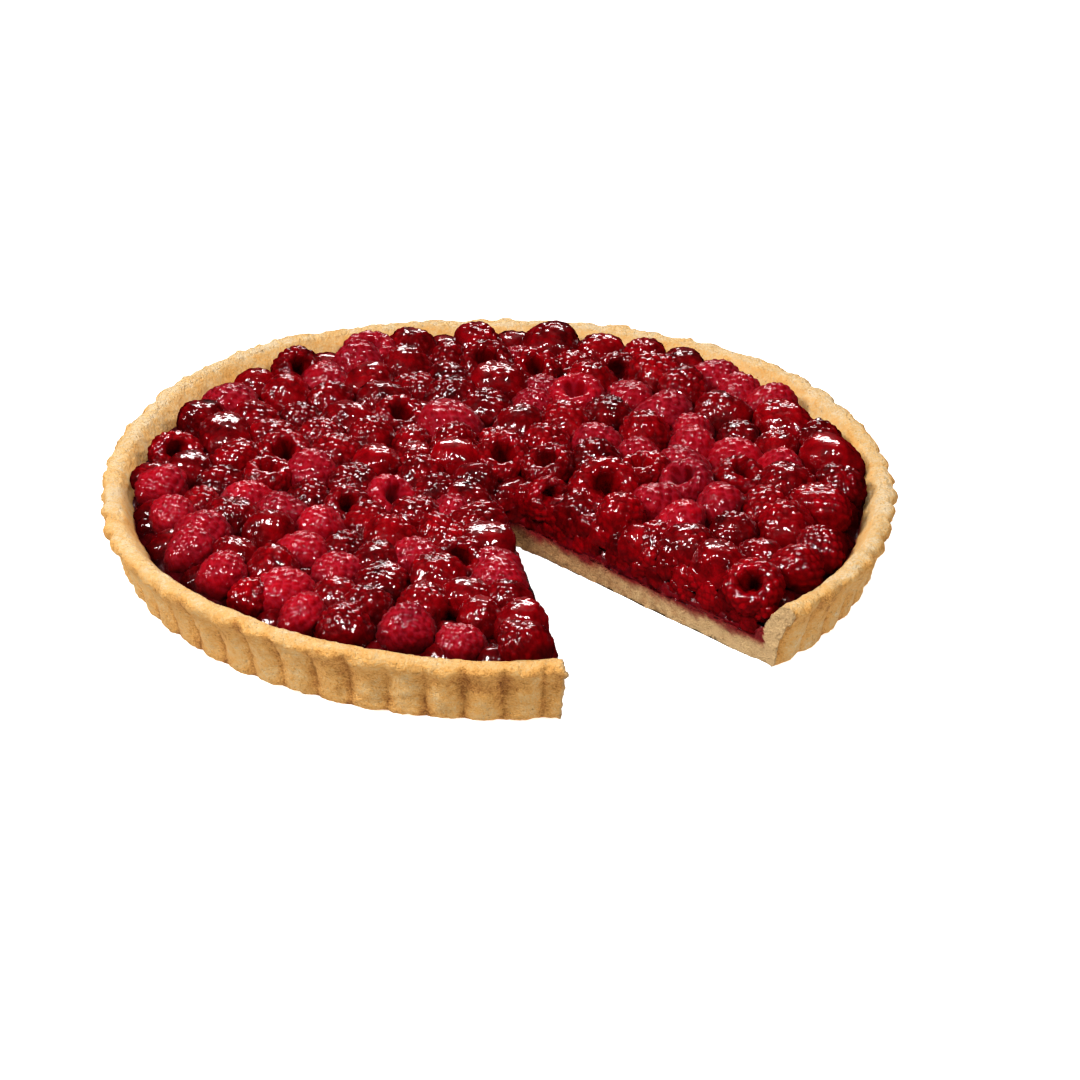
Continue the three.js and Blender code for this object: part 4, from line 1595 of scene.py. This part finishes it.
# %% [markdown]
# ## Crushed fruit at the cuts
# The knife dragged soft fruit down over the jam, so at both cuts there is no shelf between
# jam and berries but one uneven wall of pressed fruit. Two rows of small berries are set
# along each cut, one on the pastry and one above it. They are only half pressed back to the
# knife: a face cut dead flat would look like a slice of salami and catch no light.

# %% Press fruit against the cuts
CRUSHED_STEP = 7.2
# Each row is a height over the table and the usual radius of its berries.
CRUSHED_ROWS = [(11.8, 4.4), (16.8, 5.2)]
CRUSHED_FOOT = 8.3
CRUSHED_INSET = 0.72
CRUSHED_REACH = 119
CRUSHED_ENDS = 2
CRUSHED_GLAZE = (0.0, 0.4)
CRUSHED_LENGTH = 2.1
CRUSHED_LEANS = (40, 110)
CRUSHED_PATH_STEPS = (60, 10)
CRUSHED_WANDER = 1.3
CRUSHED_SIZES = (0.85, 1.2)
CRUSHED_LIFT = 0.8
PRESSED_SHARE = 0.5
CRUSHED_SEED = 9500
CRUSHED_DRAWS_SEED = 57

crushed_rng = np.random.default_rng(CRUSHED_DRAWS_SEED)
crushed_directions, crushed_faces = crushed_net
path = cut_path(CRUSHED_REACH, *CRUSHED_PATH_STEPS)
walked = np.concatenate([[0], np.cumsum(np.linalg.norm(np.diff(path, axis=0), axis=1))])
steps = np.arange(CRUSHED_ENDS, walked[-1] - CRUSHED_ENDS, CRUSHED_STEP)
for number, (step, (level, usual)) in enumerate(itertools.product(steps, CRUSHED_ROWS)):
    wander = crushed_rng.uniform(-CRUSHED_WANDER, CRUSHED_WANDER)
    distance = step + CRUSHED_STEP / 2 * (number % 2) + wander
    on_cut = np.array([np.interp(distance, walked, path[:, axis]) for axis in range(2)])
    _, outward = gap_depth(on_cut[None])
    radius = usual * crushed_rng.uniform(*CRUSHED_SIZES)
    inset = start_inset(on_cut) if nearer_start(on_cut) else 0
    spot = on_cut + (CRUSHED_INSET * radius + inset) * outward[0]
    rng = np.random.default_rng(CRUSHED_SEED + number)
    axis = berry_axis("side", rng.uniform(*CRUSHED_LEANS), rng.uniform(0, 360))
    turn = berry_turn(axis, rng.uniform(*ANY_TURN))
    long, glaze = CRUSHED_LENGTH * radius, rng.uniform(*CRUSHED_GLAZE)
    local, valley, _, raised = grow_ball(crushed_directions, radius, long, turn, rng, glaze)
    middle = [*spot, level + crushed_rng.uniform(-CRUSHED_LIFT, CRUSHED_LIFT)]
    points = local @ turn.T + middle
    points[:, 2] = np.maximum(points[:, 2], CRUSHED_FOOT)
    flesh = press_to_cut(points, spot, raised, PRESSED_SHARE)
    own = berry_numbers(local, points, valley, flesh, rng)
    crops.setdefault(("crushed", "glazed"), []).append((points, crushed_faces, own))
print(len(crops["crushed", "glazed"]), "crushed berries line the cuts")

# %% [markdown]
# ## From berries to pieces
# More than three hundred berries as single objects would be slow to handle and to draw.
# Berries that look and lie alike are joined into one mesh, with their numbers in the same
# order as their points. An open berry's net can come out inside out, so it is turned over
# where its volume says so.

# %% Join the berries
berry_pieces = {}
for (kind, look), grown in sorted(crops.items()):
    starts = np.cumsum([0] + [len(points) for points, _, _ in grown])
    points = np.concatenate([item[0] for item in grown])
    faces = np.concatenate([item[1] + start for item, start in zip(grown, starts)])
    numbers = {key: np.concatenate([item[2][key] for item in grown]) for key in grown[0][2]}
    print(len(grown), kind, look, "berries")
    faces = faces if kind != "open" else wound_outwards(points, faces)
    berry_pieces[kind, look] = new_piece(f"{look}_berries_{kind}", points, faces, numbers)

# %% [markdown]
# ## Raspberry skin
# Raspberry flesh lets light in and glows a saturated crimson, and the skin has a soft
# bloom. Under a coat of jelly the same berry goes deeper and wet. Both finishes share one
# recipe with different amounts: a subsurface body colour, a colour for the valleys, and a
# clear coat for the jelly. Fine hairs make a fresh berry's valleys paler. A glazed berry's
# bare valleys are painted nearly black, which is painted shade in the creases, and what
# lies low among the berries is darkened with painted shade as well.

# %% Berry finishes
BRUISE_AMOUNT = 0.4
BRUISE_COLOUR = (0.46, 0.002, 0.014)
PAINTED_SHADE_AMOUNT = 0.93
PAINTED_SHADE_COLOUR = (0.04, 0.0001, 0.001)
LIGHT_REACHES = (1.0, 0.1, 0.1)
LIGHT_DEPTH = 0.002
NEARLY_BLACK_RED = (0.05, 0.0001, 0.001)


def berry_finish(name, body, deep, valley_colour, valley_amount, roughness, coat):
    """Raspberry skin: deep and body colours in patches, valleys, bruises, painted shade and a coat.
    """
    skin = Finish(name)
    place = skin.mark("berry_place")
    patches = skin.noise(5, 2, place, PER_MM)
    freckles = skin.noise(0.8, 2, place, PER_MM)
    tone = skin.sum((skin.mark("tone"), 0.32), (patches, 1.0), (freckles, 0.3), (-0.48, 1.0))
    colour = skin.blend(tone, deep, body)
    colour = skin.blend(skin.times(skin.mark("valley"), valley_amount), colour, valley_colour)
    colour = skin.blend(skin.times(skin.mark("flesh"), BRUISE_AMOUNT), colour, BRUISE_COLOUR)
    # Painted shade darkens what lies low among the berries.
    colour = skin.blend(skin.times(skin.mark("juice"), PAINTED_SHADE_AMOUNT), colour, PAINTED_SHADE_COLOUR)
    ripple = skin.sum((skin.noise(1.4, 1, place, PER_MM), 1.0), (freckles, 0.15))
    normal = skin.relief(ripple, 0.13)
    skin.set(
        Base_Color=colour,
        Roughness=roughness,
        Normal=normal,
        Coat_Normal=normal,
        Specular_IOR_Level=0.06,
        Subsurface_Weight=0.12,
        Subsurface_Radius=LIGHT_REACHES,
        Subsurface_Scale=LIGHT_DEPTH,
        Coat_Weight=coat,
        Coat_Roughness=0.02,
    )
    return skin


# A glazed berry's bare valleys are painted nearly black: painted shade in the creases.
glazed_skin = berry_finish(
    "glazed_raspberry",
    body=(0.56, 0.0003, 0.008),
    deep=NEARLY_BLACK_RED,
    valley_colour=NEARLY_BLACK_RED,
    valley_amount=0.6,
    roughness=0.4,
    coat=1.0,
)
fresh_skin = berry_finish(
    "fresh_raspberry",
    body=(0.54, 0.0010, 0.011),
    deep=(0.17, 0.0005, 0.006),
    valley_colour=(0.72, 0.05, 0.10),
    valley_amount=0.28,
    roughness=0.45,
    coat=0.6,
)
fresh_skin.set(Sheen_Weight=0.04, Sheen_Roughness=0.4, Sheen_Tint=(1.0, 0.75, 0.78, 1.0))
for (kind, look), piece in berry_pieces.items():
    skin = glazed_skin if look == "glazed" else fresh_skin
    dress(piece, skin, "raspberry_heap")
print("berry finishes are ready")

# %% [markdown]
# ## Jam and jelly finishes
# Thick jelly is a dark red, and here it is painted nearly black, as painted shade for the
# gaps between the berries. Down between the berries its skin gets only a thin coat, because
# a shine there would fill the dark gaps that set the berries apart. Jam at the cut is a
# little brighter, where light comes through its edge, and it has a full coat over seeds and
# pulp.

# %% Jam and jelly finishes
jelly = Finish("raspberry_jelly")
painted_gap_shade = jelly.noise(7, 2)
# The jelly's near-black colour is painted shade for the gaps between the berries.
jelly.set(
    Base_Color=jelly.ramp(painted_gap_shade, (0.3, (0.02, 0.0, 0.001)), (0.75, (0.08, 0.0003, 0.003))),
    Roughness=0.45,
    Normal=jelly.relief(jelly.noise(1.8, 2), 0.5),
    Specular_IOR_Level=0.05,
    Coat_Weight=0.05,
    Coat_Roughness=0.05,
)
dress(jelly_bed, jelly, "raspberry_heap")

jam = Finish("raspberry_jam")
pulp = jam.noise(2.6, 3)
jam.set(
    Base_Color=jam.ramp(pulp, (0.3, (0.07, 0.0004, 0.004)), (0.7, (0.26, 0.002, 0.009))),
    Roughness=0.28,
    Normal=jam.relief(jam.sum(pulp, (jam.spots(1.7), 0.5)), 0.4),
    Subsurface_Weight=0.2,
    Subsurface_Radius=LIGHT_REACHES,
    Subsurface_Scale=LIGHT_DEPTH,
    Coat_Weight=0.8,
    Coat_Roughness=0.06,
)
dress(jam_spread, jam, "jam_layer")
print("jam and jelly are dressed")

# %% [markdown]
# ## The table
# The tart stands on a plain white table. The table glows a little, so that it stays white
# up to the horizon, and it is left out of bounced and mirrored light, so that its glow
# doesn't wash the red out of the fruit.

# %% Table
TABLE_HALF = 6000
TABLE_STEPS = 12
TABLE_DROP = 0.02

ticks = np.linspace(-TABLE_HALF, TABLE_HALF, TABLE_STEPS + 1)
table_plan = np.stack(np.meshgrid(ticks, ticks, indexing="ij"), axis=-1).reshape(-1, 2)
table_faces = grid_faces(TABLE_STEPS + 1, TABLE_STEPS + 1)
table = new_piece("table", at_height(table_plan, -TABLE_DROP), table_faces, {})
tabletop = Finish("white_table")
whites = (0.4, (0.9, 0.9, 0.9)), (0.6, (0.92, 0.92, 0.92))
tabletop.set(
    Base_Color=tabletop.ramp(tabletop.noise(900), *whites),
    Roughness=0.9,
    Emission_Color=(1.0, 1.0, 1.0, 1.0),
    Emission_Strength=0.6,
)
table.data.materials.append(tabletop.material)
table.visible_diffuse = False
table.visible_glossy = False

# %% [markdown]
# ## Lamps
# A lamp is a flat rectangle that faces the tart. A wide soft window behind it draws the
# long pale streaks along the tops of the glazed berries. A softbox from the left shapes the
# ribs of the crust, and a low lamp beside it grazes the fruit at the cut. A panel over that
# lamp is seen only as a reflection, so that the wet cut glistens while the crust beside it
# stays as it is. Two small lamps in front give the fruit its sparks: a wet berry mirrors
# them on every drupelet, and a wide lamp would smear those sparks into one grey patch.

# %% Lamps
LAMPS = [
    # name, compass from the front in degrees, elevation, distance, width, height, watts
    ("back_window", 180, 36, 1.3, 0.8, 0.14, 7.5),
    ("left_softbox", -52, 50, 1.3, 0.24, 0.24, 9.5),
    ("low_left", -85, 16, 1.2, 0.07, 0.07, 1.1),
    ("side_gloss", -78, 26, 1.2, 0.09, 0.22, 3.2),
    ("small_left", -20, 62, 1.1, 0.07, 0.07, 2.6),
    ("small_right", 40, 50, 1.1, 0.07, 0.07, 3.0),
]


def lamp(name, compass, elevation, distance, width, height, watts):
    """An area lamp that looks at the middle of the tart. A gloss panel only shows mirrored."""
    data = bpy.data.lights.new(name, "AREA")
    data.shape = "RECTANGLE"
    data.size, data.size_y = width, height
    data.energy = watts
    turned, raised = compass * DEGREE, elevation * DEGREE
    level = math.cos(raised)
    away = Vector((math.sin(turned) * level, -math.cos(turned) * level, math.sin(raised)))
    item = bpy.data.objects.new(name, data)
    item.location = away * distance
    item.rotation_mode = "QUATERNION"
    item.rotation_quaternion = away.to_track_quat("Z", "Y")
    item.visible_diffuse = "gloss" not in name
    bpy.context.scene.collection.objects.link(item)


for row in LAMPS:
    lamp(*row)
print(len(LAMPS), "lamps face the tart")

# %% [markdown]
# ## The room
# A white room fills the shadows. Below the horizon it is bright, in the place of the light
# that a white table throws back, and above it is dim, so that the lamps shape the tart. Its
# mirror image is kept off the wet fruit, because a white veil would wash the red out.

# %% Room
ROOM_BELOW = 1.0
ROOM_ABOVE = 0.08
HORIZON_HALF = 0.05
ROOM_COLOUR = (1.0, 0.99, 0.975, 1)

room = bpy.data.worlds.new("room")
room.use_nodes = True
room_nodes, room_links = room.node_tree.nodes, room.node_tree.links
direction = room_nodes.new("ShaderNodeTexCoord")
height = room_nodes.new("ShaderNodeSeparateXYZ")
shade = room_nodes.new("ShaderNodeMapRange")
shade.inputs["From Min"].default_value = -HORIZON_HALF
shade.inputs["From Max"].default_value = HORIZON_HALF
shade.inputs["To Min"].default_value = ROOM_BELOW
shade.inputs["To Max"].default_value = ROOM_ABOVE
room_links.new(direction.outputs["Generated"], height.inputs[0])
room_links.new(height.outputs["Z"], shade.inputs["Value"])
room_links.new(shade.outputs[0], room_nodes["Background"].inputs["Strength"])
room_nodes["Background"].inputs["Color"].default_value = ROOM_COLOUR
bpy.context.scene.world = room
room.cycles_visibility.glossy = False
print("the room is", ROOM_BELOW, "bright below and", ROOM_ABOVE, "above")
